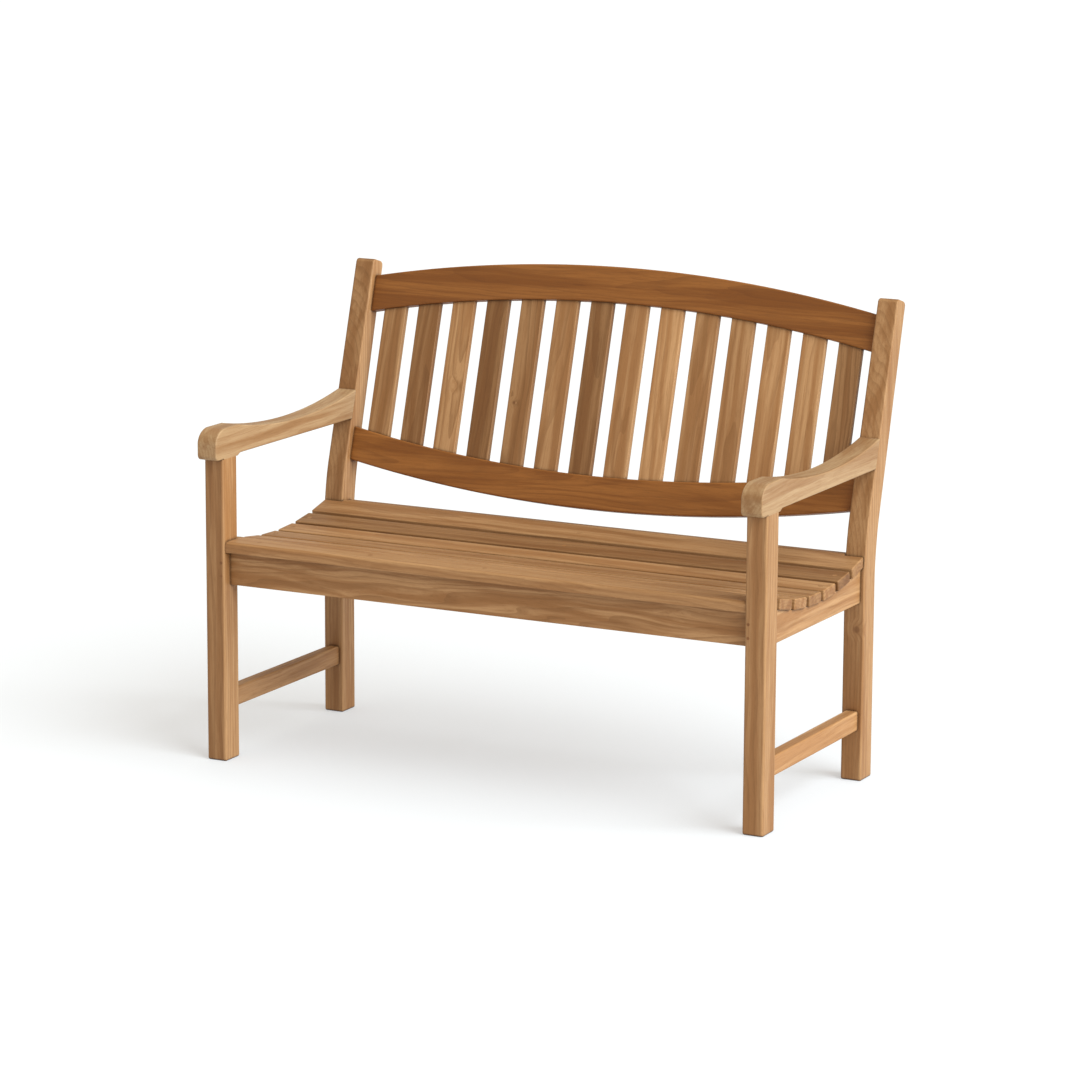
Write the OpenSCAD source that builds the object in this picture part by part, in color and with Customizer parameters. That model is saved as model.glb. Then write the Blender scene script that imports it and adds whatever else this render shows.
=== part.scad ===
// Garden bench with an oval back: a pegged teak frame, a dished slatted seat, swept arms.
// The front of the bench faces -Y, +Z is up, and the floor is at Z = 0.
// The origin is on the floor under the middle of the bench's overall box.

/* [Frame] */
// Width over the legs
bench_w = 1200; // [900:10:1800]
// Depth from the front face of the front legs to the front face of the rear legs
leg_reach = 455; // [400:5:520]
// Thickness of every leg, across the bench
leg_w = 43; // [38:1:60]
// Depth of every leg, front to back
leg_d = 52; // [46:1:70]
// Radius on the long corners of the front legs
leg_round = 5; // [2:0.5:8]

/* [Back] */
// Height along which the rear legs stand upright
kink_h = 460; // [450:5:500]
// Backward lean of the upper rear legs and of the back, degrees
rake = 16.5; // [8:0.5:20]
// Length of the raked part of the rear legs
back_l = 485; // [420:5:560]
// Distance over which a rear leg bends, on each side of the corner
bend_t = 62; // [30:1:80]
// Depth of the rear legs at their tops
leg_top_d = 40; // [36:1:46]
// Radius over the tops of the rear legs
leg_top_round = 9; // [4:1:14]
// Distance of the back rails behind the front faces of the raked legs
rail_setback = 15; // [4:1:18]
// Thickness of the crest rail and of the lower back rail
back_rail_t = 25; // [22:1:28]
// Depth of the crest rail
crest_h = 72; // [55:1:90]
// Height of the crest rail's top edge at the legs, along the rake
crest_top = 453; // [430:1:460]
// Rise of the crest rail's top edge between the legs
crest_rise = 55; // [20:1:80]
// Depth of the lower back rail
low_rail_h = 67; // [50:1:80]
// Height of the lower back rail's bottom edge at the legs, along the rake
low_rail_bottom = 72; // [60:1:90]
// Sag of the lower back rail's bottom edge between the legs
low_rail_sag = 51; // [20:1:55]
// Number of upright slats in the back
back_slat_n = 14; // [6:1:20]
// Width of a back slat
back_slat_w = 50; // [35:1:52]
// Thickness of a back slat
back_slat_t = 13; // [10:1:16]
// Depth of a back slat's ends in their mortises
back_slat_in = 14; // [8:1:20]

/* [Arms] */
// Height of the underside of the arms
arm_z = 607; // [580:1:640]
// Thickness of an arm at its front
arm_front_t = 56; // [48:1:64]
// Thickness of an arm at its lowest dip
arm_dip_t = 34; // [28:1:42]
// Distance of the dip behind the front face of the front leg
arm_dip_y = 285; // [240:5:320]
// Radius of the sweep along the top of an arm
arm_sweep_r = 1150; // [900:10:1500]
// Overhang of an arm in front of the front leg
arm_nose = 25; // [22:1:40]
// Depth of the flat pad where an arm sits on the front leg
arm_pad = 4; // [2:0.5:6]
// Reach of the pad behind the front leg
arm_pad_past = 6; // [2:1:12]
// Length of the slope from the pad up to the underside
arm_pad_slope = 8; // [4:1:16]
// Distance in front of the front leg where the nose meets the top
nose_top_in = 4; // [0:1:8]
// Drop from the top of an arm to the front of its nose
nose_drop = 18; // [14:1:26]
// Rounding where the nose meets the top
nose_top_round = 13; // [4:1:14]
// Rounding at the front of the nose
nose_front_round = 11; // [4:1:12]
// Rounding under the nose
nose_under_round = 10; // [2:1:12]

/* [Seat] */
// Height of the front seat slat
seat_z = 440; // [425:1:450]
// Distance of the seat's lowest line in front of the middle of the dished slats
seat_dip_fore = 7; // [0:1:40]
// Radius of the dished seat
seat_r = 720; // [600:10:1200]
// Number of dished seat slats behind the front slat
seat_slat_n = 6; // [4:1:8]
// Gap between neighbouring seat slats
seat_gap = 12; // [6:0.5:16]
// Thickness of a seat slat
seat_slat_t = 21; // [18:0.5:25]
// Rounding on the long edges of a seat slat
seat_slat_round = 3; // [1:0.5:5]
// Distance of the front slat's edge behind the front face of the legs
front_slat_in = 4; // [0:1:12]
// Reach of the front slat behind the front legs
front_slat_past = 7; // [4:1:16]
// Distance of the dished slats' ends inside the outer faces of the legs
seat_slat_in = 3; // [1:1:8]
// Reach of the last slat between the rear legs, behind their front faces
last_slat_reach = 8; // [0:1:8]

/* [Rails] */
// Height of the underside of all seat rails
rail_z = 352; // [330:1:360]
// Thickness of the side seat rails
side_rail_t = 26; // [22:1:30]
// Distance of the side rails and stretchers inside the outer faces of the legs
side_in = 9; // [6:1:12]
// Thickness of the front seat rail
front_rail_t = 24; // [20:1:28]
// Distance of the front seat rail behind the front faces of the legs
front_rail_in = 22; // [10:1:24]
// Thickness of the rear seat rail
rear_rail_t = 24; // [20:1:28]
// Distance of the rear seat rail behind the front faces of the rear legs
rear_rail_in = 13; // [8:1:20]
// Distance of the rear seat rail's top edge below the last slat's top
rear_rail_drop = 3; // [1:1:20]
// Thickness of the centre seat bearer
bearer_t = 28; // [20:1:40]
// Height of the underside of the side stretchers
stretcher_z = 100; // [60:5:200]
// Height of a side stretcher's section
stretcher_h = 39; // [30:1:60]
// Thickness of a side stretcher
stretcher_t = 26; // [20:1:30]
// Radius on the long edges of the side stretchers
stretcher_round = 4; // [1:0.5:8]

/* [Joints] */
// Thickness of every tenon
tenon_t = 10; // [8:1:12]
// Length of the tenons on back rails, arms and stretchers
tenon_l = 28; // [20:1:30]
// Length of the tenons on side seat rails
side_tenon_l = 14; // [10:1:15]
// Shoulder above and below a tenon
tenon_shoulder = 6; // [4:1:9]
// Shoulder above the tenons under the dished seat
dish_shoulder = 18; // [12:1:24]
// Offset of the side rails' tenons outwards from the middle of the rails
side_tenon_out = 2; // [0:0.5:4]
// Wood left between the mortises for the front and side rails
mortise_wall = 1.6; // [1:0.1:4]
// Length of the centre bearer's tenons
bearer_tenon_l = 12; // [8:1:16]
// Height of the tenon on top of the front leg
leg_tenon_h = 22; // [16:1:28]
// Shoulder in front of and behind that tenon
leg_tenon_shoulder = 8; // [5:1:12]
// Height of the tenon at the back of an arm
arm_tenon_h = 24; // [16:1:28]
// Shoulder under that tenon
arm_tenon_up = 10; // [6:1:14]
// Clearance round a tenon, on each side
fit_gap = 0.2; // [0.1:0.05:0.5]
// Depth left empty past the end of a tenon
end_gap = 2; // [1:0.5:3]
// Diameter of the pegs that lock the joints
peg_d = 6; // [5:0.5:8]
// Length of the pegs through the seat rails' tenons
peg_l = 42; // [40:1:46]
// Distance between the two pegs of a joint
peg_apart = 26; // [16:1:32]

/* [Screws] */
// Diameter of a seat screw's shank
screw_d = 4; // [3:0.5:5]
// Diameter of a seat screw's head
screw_head_d = 8; // [7:0.5:9]
// Length of a seat screw
screw_l = 38; // [30:1:45]
// Diameter of a wooden plug
plug_d = 10; // [9:0.5:14]
// Depth of a wooden plug
plug_h = 6; // [4:0.5:8]
// Number of screws through the front slat
front_screw_n = 5; // [3:1:9]
// Distance from the front slat's ends to its outer screws
front_screw_end = 60; // [40:5:90]

/* [Hidden] */
$fn = 48;
ARC_FN = 720;
CORNER_REACH = 4;
// How far a tenon is rooted inside its own piece
ROOT = 1;

// Overall frame
half_w = bench_w / 2;
inner = half_w - leg_w;
kink = [leg_reach, kink_h];

// The raked plane: w runs up along the legs, v backwards through them
function raked(v, w) = kink + [v * cos(rake) + w * sin(rake), w * cos(rake) - v * sin(rake)];
function unit(p) = p / norm(p);
// Where the line p + s * d crosses the upright line at y
function at_y(p, d, y) = p + d * (y - p[0]) / d[0];
// Distance behind the raked front face, at a height above the kink
function raked_y(z) = kink[0] + (z - kink[1]) * tan(rake);

rear_top = raked(leg_top_d, back_l);
rear_foot = raked(leg_d, 0);
rear_kink = at_y(rear_foot, rear_top - rear_foot, leg_reach + leg_d);
crest_back = raked(rail_setback + back_rail_t, crest_top + crest_rise);
mid_y = (max(rear_top[0], crest_back[0]) - arm_nose) / 2;

front_slat_back = leg_d + front_slat_past;

// Seat curve: a circle whose lowest line is level with the bottom of the dish
seat_chord = leg_reach - front_slat_back;
seat_pitch = seat_chord / seat_slat_n;
seat_slat_w = seat_pitch - seat_gap;
seat_dip_y = front_slat_back + seat_chord / 2 - seat_dip_fore;
seat_low = seat_z - (seat_r - sqrt(pow(seat_r, 2) - pow(seat_dip_y - front_slat_back, 2)));
function seat_curve(y) = seat_low + seat_r - sqrt(pow(seat_r, 2) - pow(y - seat_dip_y, 2));
function slat_y0(i) = front_slat_back + seat_gap + i * seat_pitch;
function slat_p0(i) = [slat_y0(i), seat_curve(slat_y0(i))];
function slat_p1(i) = [slat_y0(i) + seat_slat_w, seat_curve(slat_y0(i) + seat_slat_w)];
function slat_dir(i) = unit(slat_p1(i) - slat_p0(i));
function slat_tilt(i) = atan2(slat_dir(i)[1], slat_dir(i)[0]);
function slat_len(i) = norm(slat_p1(i) - slat_p0(i));
// A point on slat i: along its width, and down from its top face
function on_slat(i, along, down) =
    slat_p0(i) + slat_dir(i) * along - [-slat_dir(i)[1], slat_dir(i)[0]] * down;
last = seat_slat_n - 1;
seat_back_z = slat_p1(last)[1];
seat_end = half_w - seat_slat_in;

// Seat rails
rail_top = seat_z - seat_slat_t;
side_x = half_w - side_in - side_rail_t;
side_mid = side_x + side_rail_t / 2;
side_tenon_x = side_mid + side_tenon_out;
side_tenon_z = [rail_z + tenon_shoulder, rail_top - dish_shoulder];
// The front and rear rails' tenons stop short of the side rails' mortises
seat_tenon_l = side_tenon_x - tenon_t / 2 - fit_gap - mortise_wall - fit_gap - end_gap - inner;
stretcher_x = half_w - side_in - stretcher_t;
rear_rail_y = leg_reach + rear_rail_in;
rear_rail_top = seat_back_z - rear_rail_drop;
bearer_y = front_rail_in + front_rail_t;

// Back rails as rings about centres on the middle line, in the raked plane
crest_r = (pow(inner, 2) + pow(crest_rise, 2)) / (2 * crest_rise);
crest_c = crest_top + crest_rise - crest_r;
low_r = (pow(inner, 2) + pow(low_rail_sag, 2)) / (2 * low_rail_sag);
low_c = low_rail_bottom - low_rail_sag + low_r;
function crest_under(x) = crest_c + sqrt(pow(crest_r - crest_h, 2) - pow(x, 2));
function low_over(x) = low_c - sqrt(pow(low_r - low_rail_h, 2) - pow(x, 2));
back_gap = (2 * inner - back_slat_n * back_slat_w) / (back_slat_n + 1);
function back_slat_x(i) = -inner + back_gap + back_slat_w / 2 + i * (back_slat_w + back_gap);
back_slat_v = rail_setback + (back_rail_t - back_slat_t) / 2;
crest_tenon = [crest_under(inner) + tenon_shoulder, crest_top - tenon_shoulder];
low_tenon = [low_rail_bottom + tenon_shoulder, low_over(inner) - tenon_shoulder];

// Arms
arm_top = arm_z + arm_front_t;
arm_dip_z = arm_z + arm_dip_t;
arm_tenon_z = arm_z + arm_tenon_up;
nose_brow = [-nose_top_in, arm_top];
nose_front = [-arm_nose, arm_top - nose_drop];
nose_under = [-arm_nose, arm_z - arm_pad];

// Screws
slat_cx = [-side_mid, 0, side_mid];
front_screw_gap = 2 * (inner - front_screw_end) / (front_screw_n - 1);
front_screw_x = [for (i = [0:front_screw_n - 1]) front_screw_end - inner + i * front_screw_gap];
front_screw_y = front_rail_in + front_rail_t / 2;

// ---------- helpers ----------

// Moves the bench so that the origin is under the middle of its box
module placed() {
    translate([0, -mid_y, 0]) children();
}

// Extrudes a side profile, drawn as [Y, Z], from x to x + w
module across(x, w) {
    translate([x, 0, 0]) rotate([90, 0, 90]) linear_extrude(w) children();
}

// Extrudes a shape drawn as [X, height along the rake], from v to v + t behind the raked front face
module in_back(v, t) {
    translate([0, kink[0], kink[1]]) rotate([-rake, 0, 0]) translate([0, v + t, 0])
        rotate([90, 0, 0]) linear_extrude(t) children();
}

// A bar along Y with a rounded section in the XZ plane
module bar_y(x, y, z, w, l, h, r) {
    translate([x, y + l, z]) rotate([90, 0, 0]) linear_extrude(l) rounded(w, h, r);
}

module rounded(w, h, r) {
    translate([r, 0]) square([w - 2 * r, h]);
    translate([0, r]) square([w, h - 2 * r]);
    for (x = [r, w - r], y = [r, h - r]) translate([x, y]) circle(r);
}

// The circle that meets both sides of a corner at distance t from it.
// The corner is at p, and a and b are points on its two sides.
module corner_circle(p, a, b, t) {
    u = unit(a - p);
    v = unit(b - p);
    half = acos(u * v) / 2;
    translate(p + unit(u + v) * t / cos(half)) circle(t * tan(half), $fn = ARC_FN);
}

// What a convex corner loses when it is rounded by that circle.
// It reaches a little past the corner, so that the cut is clean.
module corner_sliver(p, a, b, t) {
    u = unit(a - p);
    v = unit(b - p);
    difference() {
        polygon([p + u * t, p - unit(u + v) * CORNER_REACH, p + v * t]);
        corner_circle(p, a, b, t);
    }
}

// A box from corner a to corner b, grown on all sides by g
module block(a, b, g = 0) {
    translate(a - [g, g, g]) cube(b - a + 2 * [g, g, g]);
}

// Shows its child on the right side (+X) as drawn, or mirrored to the left side
module side(s) {
    if (s > 0) children();
    else mirror([1, 0, 0]) children();
}

module both() {
    for (s = [-1, 1]) side(s) children();
}

// ---------- tenons, drawn on the right side; g > 0 makes the mortise ----------

function past(g) = g > 0 ? end_gap : 0;

// Front or rear seat rail, t thick from y, into a leg
module rail_tenon(y, t, g) {
    mid = y + t / 2;
    block([inner - ROOT, mid - tenon_t / 2, rail_z + tenon_shoulder],
          [inner + seat_tenon_l + past(g), mid + tenon_t / 2, rail_top - tenon_shoulder], g);
}

module front_rail_tenon(g) {
    rail_tenon(front_rail_in, front_rail_t, g);
}

module rear_rail_tenon(g) {
    rail_tenon(rear_rail_y, rear_rail_t, g);
}

// Tenons of length l at both ends of a bar from y0 to y1, about x, between the heights z
module end_tenons(x, y0, y1, z, l, g) {
    for (y = [[y0 - l - past(g), y0 + ROOT], [y1 - ROOT, y1 + l + past(g)]])
        block([x - tenon_t / 2, y[0], z[0]], [x + tenon_t / 2, y[1], z[1]], g);
}

// Side seat rail into both legs
module side_rail_tenon(g) {
    end_tenons(side_tenon_x, leg_d, leg_reach, side_tenon_z, side_tenon_l, g);
}

// Side stretcher into both legs
module stretcher_tenon(g) {
    z = [stretcher_z + tenon_shoulder, stretcher_z + stretcher_h - tenon_shoulder];
    end_tenons(stretcher_x + stretcher_t / 2, leg_d, leg_reach, z, tenon_l, g);
}

// Centre bearer into the front and rear seat rails
module bearer_tenon(g) {
    end_tenons(0, bearer_y, rear_rail_y, side_tenon_z, bearer_tenon_l, g);
}

// Back rails into the rear leg: from height w[0] to w[1] along the rake
module back_rail_tenon(w, g) {
    v = rail_setback + (back_rail_t - tenon_t) / 2;
    in_back(v - g, tenon_t + 2 * g)
        translate([inner - ROOT, w[0] - g])
            square([tenon_l + ROOT + past(g), w[1] - w[0] + 2 * g]);
}

// Arm into the rear leg; its root reaches forward to where the leaning leg is nearest
module arm_tenon(g) {
    x = half_w - leg_w / 2;
    y = raked_y(arm_tenon_z);
    block([x - tenon_t / 2, raked_y(arm_z) - ROOT, arm_tenon_z],
          [x + tenon_t / 2, y + tenon_l + past(g), arm_tenon_z + arm_tenon_h], g);
}

// Front leg up into the arm
module leg_tenon(g) {
    x = half_w - leg_w / 2;
    block([x - tenon_t / 2, leg_tenon_shoulder, arm_z - arm_pad - ROOT],
          [x + tenon_t / 2, leg_d - leg_tenon_shoulder, arm_z + leg_tenon_h + past(g)], g);
}

// ---------- pegs, drawn on the right side ----------

// Pegs from the front face of the front leg through the front rail's tenon
module front_rail_peg() {
    for (z = peg_pair(rail_z, rail_top))
        translate([inner + seat_tenon_l / 2, 0, z]) rotate([-90, 0, 0]) cylinder(h = peg_l, d = peg_d);
}

// Pegs from the back of the rear leg through the rear rail's tenon
module rear_rail_peg() {
    for (z = peg_pair(rail_z, rail_top))
        translate([inner + seat_tenon_l / 2, leg_reach + leg_d, z]) rotate([90, 0, 0])
            cylinder(h = peg_l, d = peg_d);
}

// Pegs from the back of the raked leg through the back rails' tenons
module back_rail_peg() {
    intersection() {
        across(inner, leg_w) rear_leg_profile();
        for (w = concat(peg_pair(crest_tenon[0], crest_tenon[1]), peg_pair(low_tenon[0], low_tenon[1])))
            in_raked(inner + tenon_l / 2, rail_setback, w) cylinder(h = leg_d, d = peg_d);
    }
}

// Turns a child's Z axis to run backwards through the raked leg, from depth v at height w
module in_raked(x, v, w) {
    translate([x, raked(v, w)[0], raked(v, w)[1]]) rotate([-rake - 90, 0, 0]) children();
}

function peg_pair(lo, hi) = [(lo + hi - peg_apart) / 2, (lo + hi + peg_apart) / 2];

// ---------- screws ----------

// Places a child with its Z axis up out of slat i's top face, at x
module on_seat_slat(i, x) {
    p = on_slat(i, slat_len(i) / 2, 0);
    translate([x, p[0], p[1]]) rotate([slat_tilt(i), 0, 0]) children();
}

module screw() {
    head_h = (screw_head_d - screw_d) / 2;
    translate([0, 0, -plug_h - screw_l]) cylinder(h = screw_l, d = screw_d);
    translate([0, 0, -plug_h - head_h]) cylinder(h = head_h, d1 = screw_d, d2 = screw_head_d);
}

module plug() {
    translate([0, 0, -plug_h]) cylinder(h = plug_h, d = plug_d);
}

// Calls its child at every seat screw
module seat_fixings() {
    for (i = [0:last], x = slat_cx) on_seat_slat(i, x) children();
    for (x = front_screw_x) translate([x, front_screw_y, seat_z]) children();
}

module seat_holes() {
    seat_fixings() {
        screw();
    }
    seat_fixings() {
        plug();
    }
}

// ---------- legs ----------

module front_leg() {
    color("peru") difference() {
        union() {
            translate([inner, 0, 0]) linear_extrude(arm_z - arm_pad) rounded(leg_w, leg_d, leg_round);
            leg_tenon(0);
        }
        front_rail_tenon(fit_gap);
        side_rail_tenon(fit_gap);
        stretcher_tenon(fit_gap);
        front_rail_peg();
    }
}

// The hollow bend at the back is a chord, cut out by its circle
module rear_leg_profile() {
    top_front = raked(0, back_l);
    foot_back = [leg_reach + leg_d, 0];
    up = rear_kink + unit(rear_top - rear_kink) * bend_t;
    down = rear_kink + unit(foot_back - rear_kink) * bend_t;
    difference() {
        polygon([[leg_reach, 0], kink, top_front, rear_top, up, down, foot_back]);
        corner_circle(rear_kink, rear_top, foot_back, bend_t);
        corner_sliver(kink, top_front, [leg_reach, 0], bend_t);
        corner_sliver(top_front, kink, rear_top, leg_top_round);
        corner_sliver(rear_top, top_front, rear_kink, leg_top_round);
    }
}

module rear_leg() {
    color("peru") difference() {
        across(inner, leg_w) rear_leg_profile();
        rear_rail_tenon(fit_gap);
        side_rail_tenon(fit_gap);
        stretcher_tenon(fit_gap);
        arm_tenon(fit_gap);
        back_rail_tenon(crest_tenon, fit_gap);
        back_rail_tenon(low_tenon, fit_gap);
        rear_rail_peg();
        back_rail_peg();
    }
}

// ---------- arms ----------

// The polygon reaches above the top, which the sweep's circle then cuts
module arm_profile() {
    above = arm_top + arm_dip_t;
    difference() {
        polygon([nose_under, nose_front, nose_brow, [arm_dip_y, arm_top], [raked_y(above), above],
                 [raked_y(arm_z), arm_z], [leg_d + arm_pad_past + arm_pad_slope, arm_z],
                 [leg_d + arm_pad_past, arm_z - arm_pad]]);
        translate([arm_dip_y, arm_dip_z + arm_sweep_r]) circle(arm_sweep_r, $fn = ARC_FN);
        corner_sliver(nose_front, nose_under, nose_brow, nose_front_round);
        corner_sliver(nose_brow, nose_front, [arm_dip_y, arm_top], nose_top_round);
        corner_sliver(nose_under, nose_front, [leg_d, arm_z - arm_pad], nose_under_round);
    }
}

module arm() {
    color("burlywood") difference() {
        union() {
            across(inner, leg_w) arm_profile();
            arm_tenon(0);
        }
        leg_tenon(fit_gap);
    }
}

// ---------- back ----------

// The upper or lower half of a ring about the height c, cut off between the legs
module band(c, r_out, r_in, upper) {
    intersection() {
        difference() {
            translate([0, c]) circle(r_out, $fn = ARC_FN);
            translate([0, c]) circle(r_in, $fn = ARC_FN);
        }
        translate([-inner, upper ? c : c - r_out]) square([2 * inner, r_out]);
    }
}

module crest_rail() {
    color("sienna") difference() {
        union() {
            in_back(rail_setback, back_rail_t) band(crest_c, crest_r, crest_r - crest_h, true);
            both() back_rail_tenon(crest_tenon, 0);
        }
        back_slat_mortises();
        both() back_rail_peg();
    }
}

module lower_back_rail() {
    color("sienna") difference() {
        union() {
            in_back(rail_setback, back_rail_t) band(low_c, low_r, low_r - low_rail_h, false);
            both() back_rail_tenon(low_tenon, 0);
        }
        back_slat_mortises();
        both() back_rail_peg();
    }
}

// Lowest and highest ends of back slat i, at its edge nearer a leg where both rails are closest
function slat_w0(i) = low_over(back_slat_near(i)) - back_slat_in;
function slat_w1(i) = crest_under(back_slat_near(i)) + back_slat_in;
function back_slat_near(i) = abs(back_slat_x(i));

// Back slat i, snug in thickness; g and e widen and lengthen it into its mortises
module back_slat_shape(i, g, e) {
    in_back(back_slat_v, back_slat_t)
        translate([back_slat_x(i) - back_slat_w / 2 - g, slat_w0(i) - e])
            square([back_slat_w + 2 * g, slat_w1(i) - slat_w0(i) + 2 * e]);
}

module back_slat_mortises() {
    for (i = [0:back_slat_n - 1]) back_slat_shape(i, fit_gap, end_gap);
}

module back_slat(i) {
    color("chocolate") back_slat_shape(i, 0, 0);
}

// ---------- seat ----------

module front_seat_slat() {
    w = front_slat_back - front_slat_in;
    color("tan") difference() {
        translate([-inner, front_slat_in, seat_z - seat_slat_t]) rotate([90, 0, 90])
            linear_extrude(2 * inner) rounded(w, seat_slat_t, seat_slat_round);
        seat_holes();
    }
}

// The last slat is wider than the others and notched round the rear legs
module seat_slat(i) {
    extra = i == last ? last_slat_reach : 0;
    color("tan") difference() {
        translate([-seat_end, slat_p0(i)[0], slat_p0(i)[1]]) rotate([slat_tilt(i), 0, 0])
            translate([0, 0, -seat_slat_t]) rotate([90, 0, 90])
                linear_extrude(2 * seat_end)
                    rounded(slat_len(i) + extra, seat_slat_t, seat_slat_round);
        seat_holes();
        if (i == last) {
            translate([-bench_w, leg_reach + last_slat_reach, rail_z]) cube([2 * bench_w, leg_d, seat_z]);
            both()
                translate([inner - fit_gap, leg_reach, rail_z]) cube([leg_w + fit_gap, leg_d, seat_z]);
        }
    }
}

// Everything below the undersides of the seat slats from y0 to y1, drawn as [Y, Z]
module under_slats(y0, y1) {
    start = on_slat(last, 0, seat_slat_t);
    end = start + [y1 - start[0], (y1 - start[0]) * tan(slat_tilt(last))];
    polygon(concat(
        [[y0, rail_z], [y0, rail_top], [front_slat_back, rail_top]],
        [for (i = [0:last - 1], t = [0, 1]) on_slat(i, t * slat_len(i), seat_slat_t)],
        [start, end, [y1, rail_z]]));
}

module side_seat_rail() {
    color("peru") difference() {
        union() {
            across(side_x, side_rail_t) under_slats(leg_d, leg_reach);
            side_rail_tenon(0);
        }
        seat_holes();
    }
}

module front_seat_rail() {
    color("peru") difference() {
        union() {
            block([-inner, front_rail_in, rail_z], [inner, front_rail_in + front_rail_t, rail_top]);
            both() front_rail_tenon(0);
        }
        seat_holes();
        bearer_tenon(fit_gap);
        both() front_rail_peg();
    }
}

module rear_seat_rail() {
    color("peru") difference() {
        union() {
            block([-inner, rear_rail_y, rail_z], [inner, rear_rail_y + rear_rail_t, rear_rail_top]);
            both() rear_rail_tenon(0);
        }
        bearer_tenon(fit_gap);
        both() rear_rail_peg();
    }
}

module centre_seat_bearer() {
    color("peru") difference() {
        union() {
            across(-bearer_t / 2, bearer_t) under_slats(bearer_y, rear_rail_y);
            bearer_tenon(0);
        }
        seat_holes();
    }
}

module side_stretcher() {
    color("peru") {
        bar_y(stretcher_x, leg_d, stretcher_z, stretcher_t, leg_reach - leg_d, stretcher_h, stretcher_round);
        stretcher_tenon(0);
    }
}

// ---------- the bench ----------

placed() {
    side(-1) front_leg();  // front_leg_left
    side(1) front_leg();  // front_leg_right
    side(-1) rear_leg();  // rear_leg_left
    side(1) rear_leg();  // rear_leg_right
    side(-1) arm();  // arm_left
    side(1) arm();  // arm_right
    crest_rail();
    lower_back_rail();
    for (i = [1:back_slat_n])
        back_slat(i - 1);
    front_seat_slat();
    for (i = [1:seat_slat_n])
        seat_slat(i - 1);
    front_seat_rail();
    rear_seat_rail();
    side(-1) side_seat_rail();  // side_seat_rail_left
    side(1) side_seat_rail();  // side_seat_rail_right
    centre_seat_bearer();
    side(-1) side_stretcher();  // side_stretcher_left
    side(1) side_stretcher();  // side_stretcher_right
    color("saddlebrown") both() front_rail_peg();  // front_rail_pegs
    color("saddlebrown") both() rear_rail_peg();  // rear_rail_pegs
    color("saddlebrown") both() back_rail_peg();  // back_rail_pegs
    color("silver") seat_fixings() screw();  // seat_screws
    color("sienna") seat_fixings() plug();  // seat_plugs
}
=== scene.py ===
"""A two-seat garden bench in oiled teak, with an oval back, swept arms and a dished slatted seat.

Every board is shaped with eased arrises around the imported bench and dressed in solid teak, whose
growth rings, streaks and fibres run through the wood from face to end grain.
"""
from __future__ import annotations

import logging
import math
import random
from dataclasses import dataclass, field
from enum import Enum

import bmesh
import bpy
from mathutils import Matrix, Vector


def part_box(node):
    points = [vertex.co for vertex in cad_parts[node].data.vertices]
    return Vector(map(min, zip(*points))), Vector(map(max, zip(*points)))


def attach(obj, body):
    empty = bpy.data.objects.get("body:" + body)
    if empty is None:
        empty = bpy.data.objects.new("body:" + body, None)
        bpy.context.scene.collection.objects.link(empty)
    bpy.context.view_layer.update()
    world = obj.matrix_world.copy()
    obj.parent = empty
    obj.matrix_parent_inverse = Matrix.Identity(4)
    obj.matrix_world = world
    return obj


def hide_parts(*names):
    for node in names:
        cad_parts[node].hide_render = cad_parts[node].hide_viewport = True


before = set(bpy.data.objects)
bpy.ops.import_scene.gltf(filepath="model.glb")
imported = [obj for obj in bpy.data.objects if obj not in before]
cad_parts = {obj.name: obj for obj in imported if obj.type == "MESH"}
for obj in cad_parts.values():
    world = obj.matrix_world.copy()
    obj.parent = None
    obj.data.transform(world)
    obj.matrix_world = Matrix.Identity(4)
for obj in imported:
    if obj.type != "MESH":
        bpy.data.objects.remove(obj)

MM = 0.001
# How near two places are that count as touching, and as one
CLOSE = 1 * MM
EXACT = 0.01 * MM
MERGED = 0.001 * MM
# The angles, in radians, past which an edge is an arris, up to which shading runs on, and that a
# flat edge keeps below
ARRIS_ANGLE = math.radians(40)
SMOOTH_ANGLE = math.radians(50)
FLAT_ANGLE = 0.01
# How square to the board's own directions a face is where it starts to count as an arris and as end
# grain, and over how much more it comes to count in full
ARRIS_START, ARRIS_SPAN = 0.93, 0.2
END_START, END_SPAN = 0.5, 0.4
LOG = logging.getLogger("garden_bench")

# How far apart boards are picked along the log, in metres, and how far they are turned in it, in
# radians, so that no two show the same figure
LOG_REACH = 40.0
FACE_TURN = 0.9

# The lean of the back, from the upright
RAKE = math.radians(16.5)
UP_RAKE = Vector((0.0, math.sin(RAKE), math.cos(RAKE)))
INTO_RAKE = Vector((0.0, math.cos(RAKE), -math.sin(RAKE)))
ACROSS = Vector((1.0, 0.0, 0.0))

Point = tuple[float, float, float]
Colour = tuple[float, float, float, float]
Socket = bpy.types.NodeSocket


class Grain(Enum):
    """How a board was cut: the directions along its fibres, across its face and through it."""

    ALONG_BENCH = (ACROSS, Vector((0, 1, 0)), Vector((0, 0, 1)))
    ALONG_BENCH_ON_EDGE = (ACROSS, Vector((0, 0, 1)), Vector((0, 1, 0)))
    FRONT_TO_BACK = (Vector((0, 1, 0)), Vector((0, 0, 1)), ACROSS)
    UPRIGHT = (Vector((0, 0, 1)), ACROSS, Vector((0, 1, 0)))
    UP_THE_RAKE = (UP_RAKE, ACROSS, INTO_RAKE)
    ACROSS_THE_RAKE = (ACROSS, UP_RAKE, INTO_RAKE)


class Side(Enum):
    """One end of the bench, seen by someone facing its front."""

    LEFT = -1
    RIGHT = 1

    @property
    def word(self) -> str:
        """The side's name, as the bench's pieces are named."""
        return self.name.lower()


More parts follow.
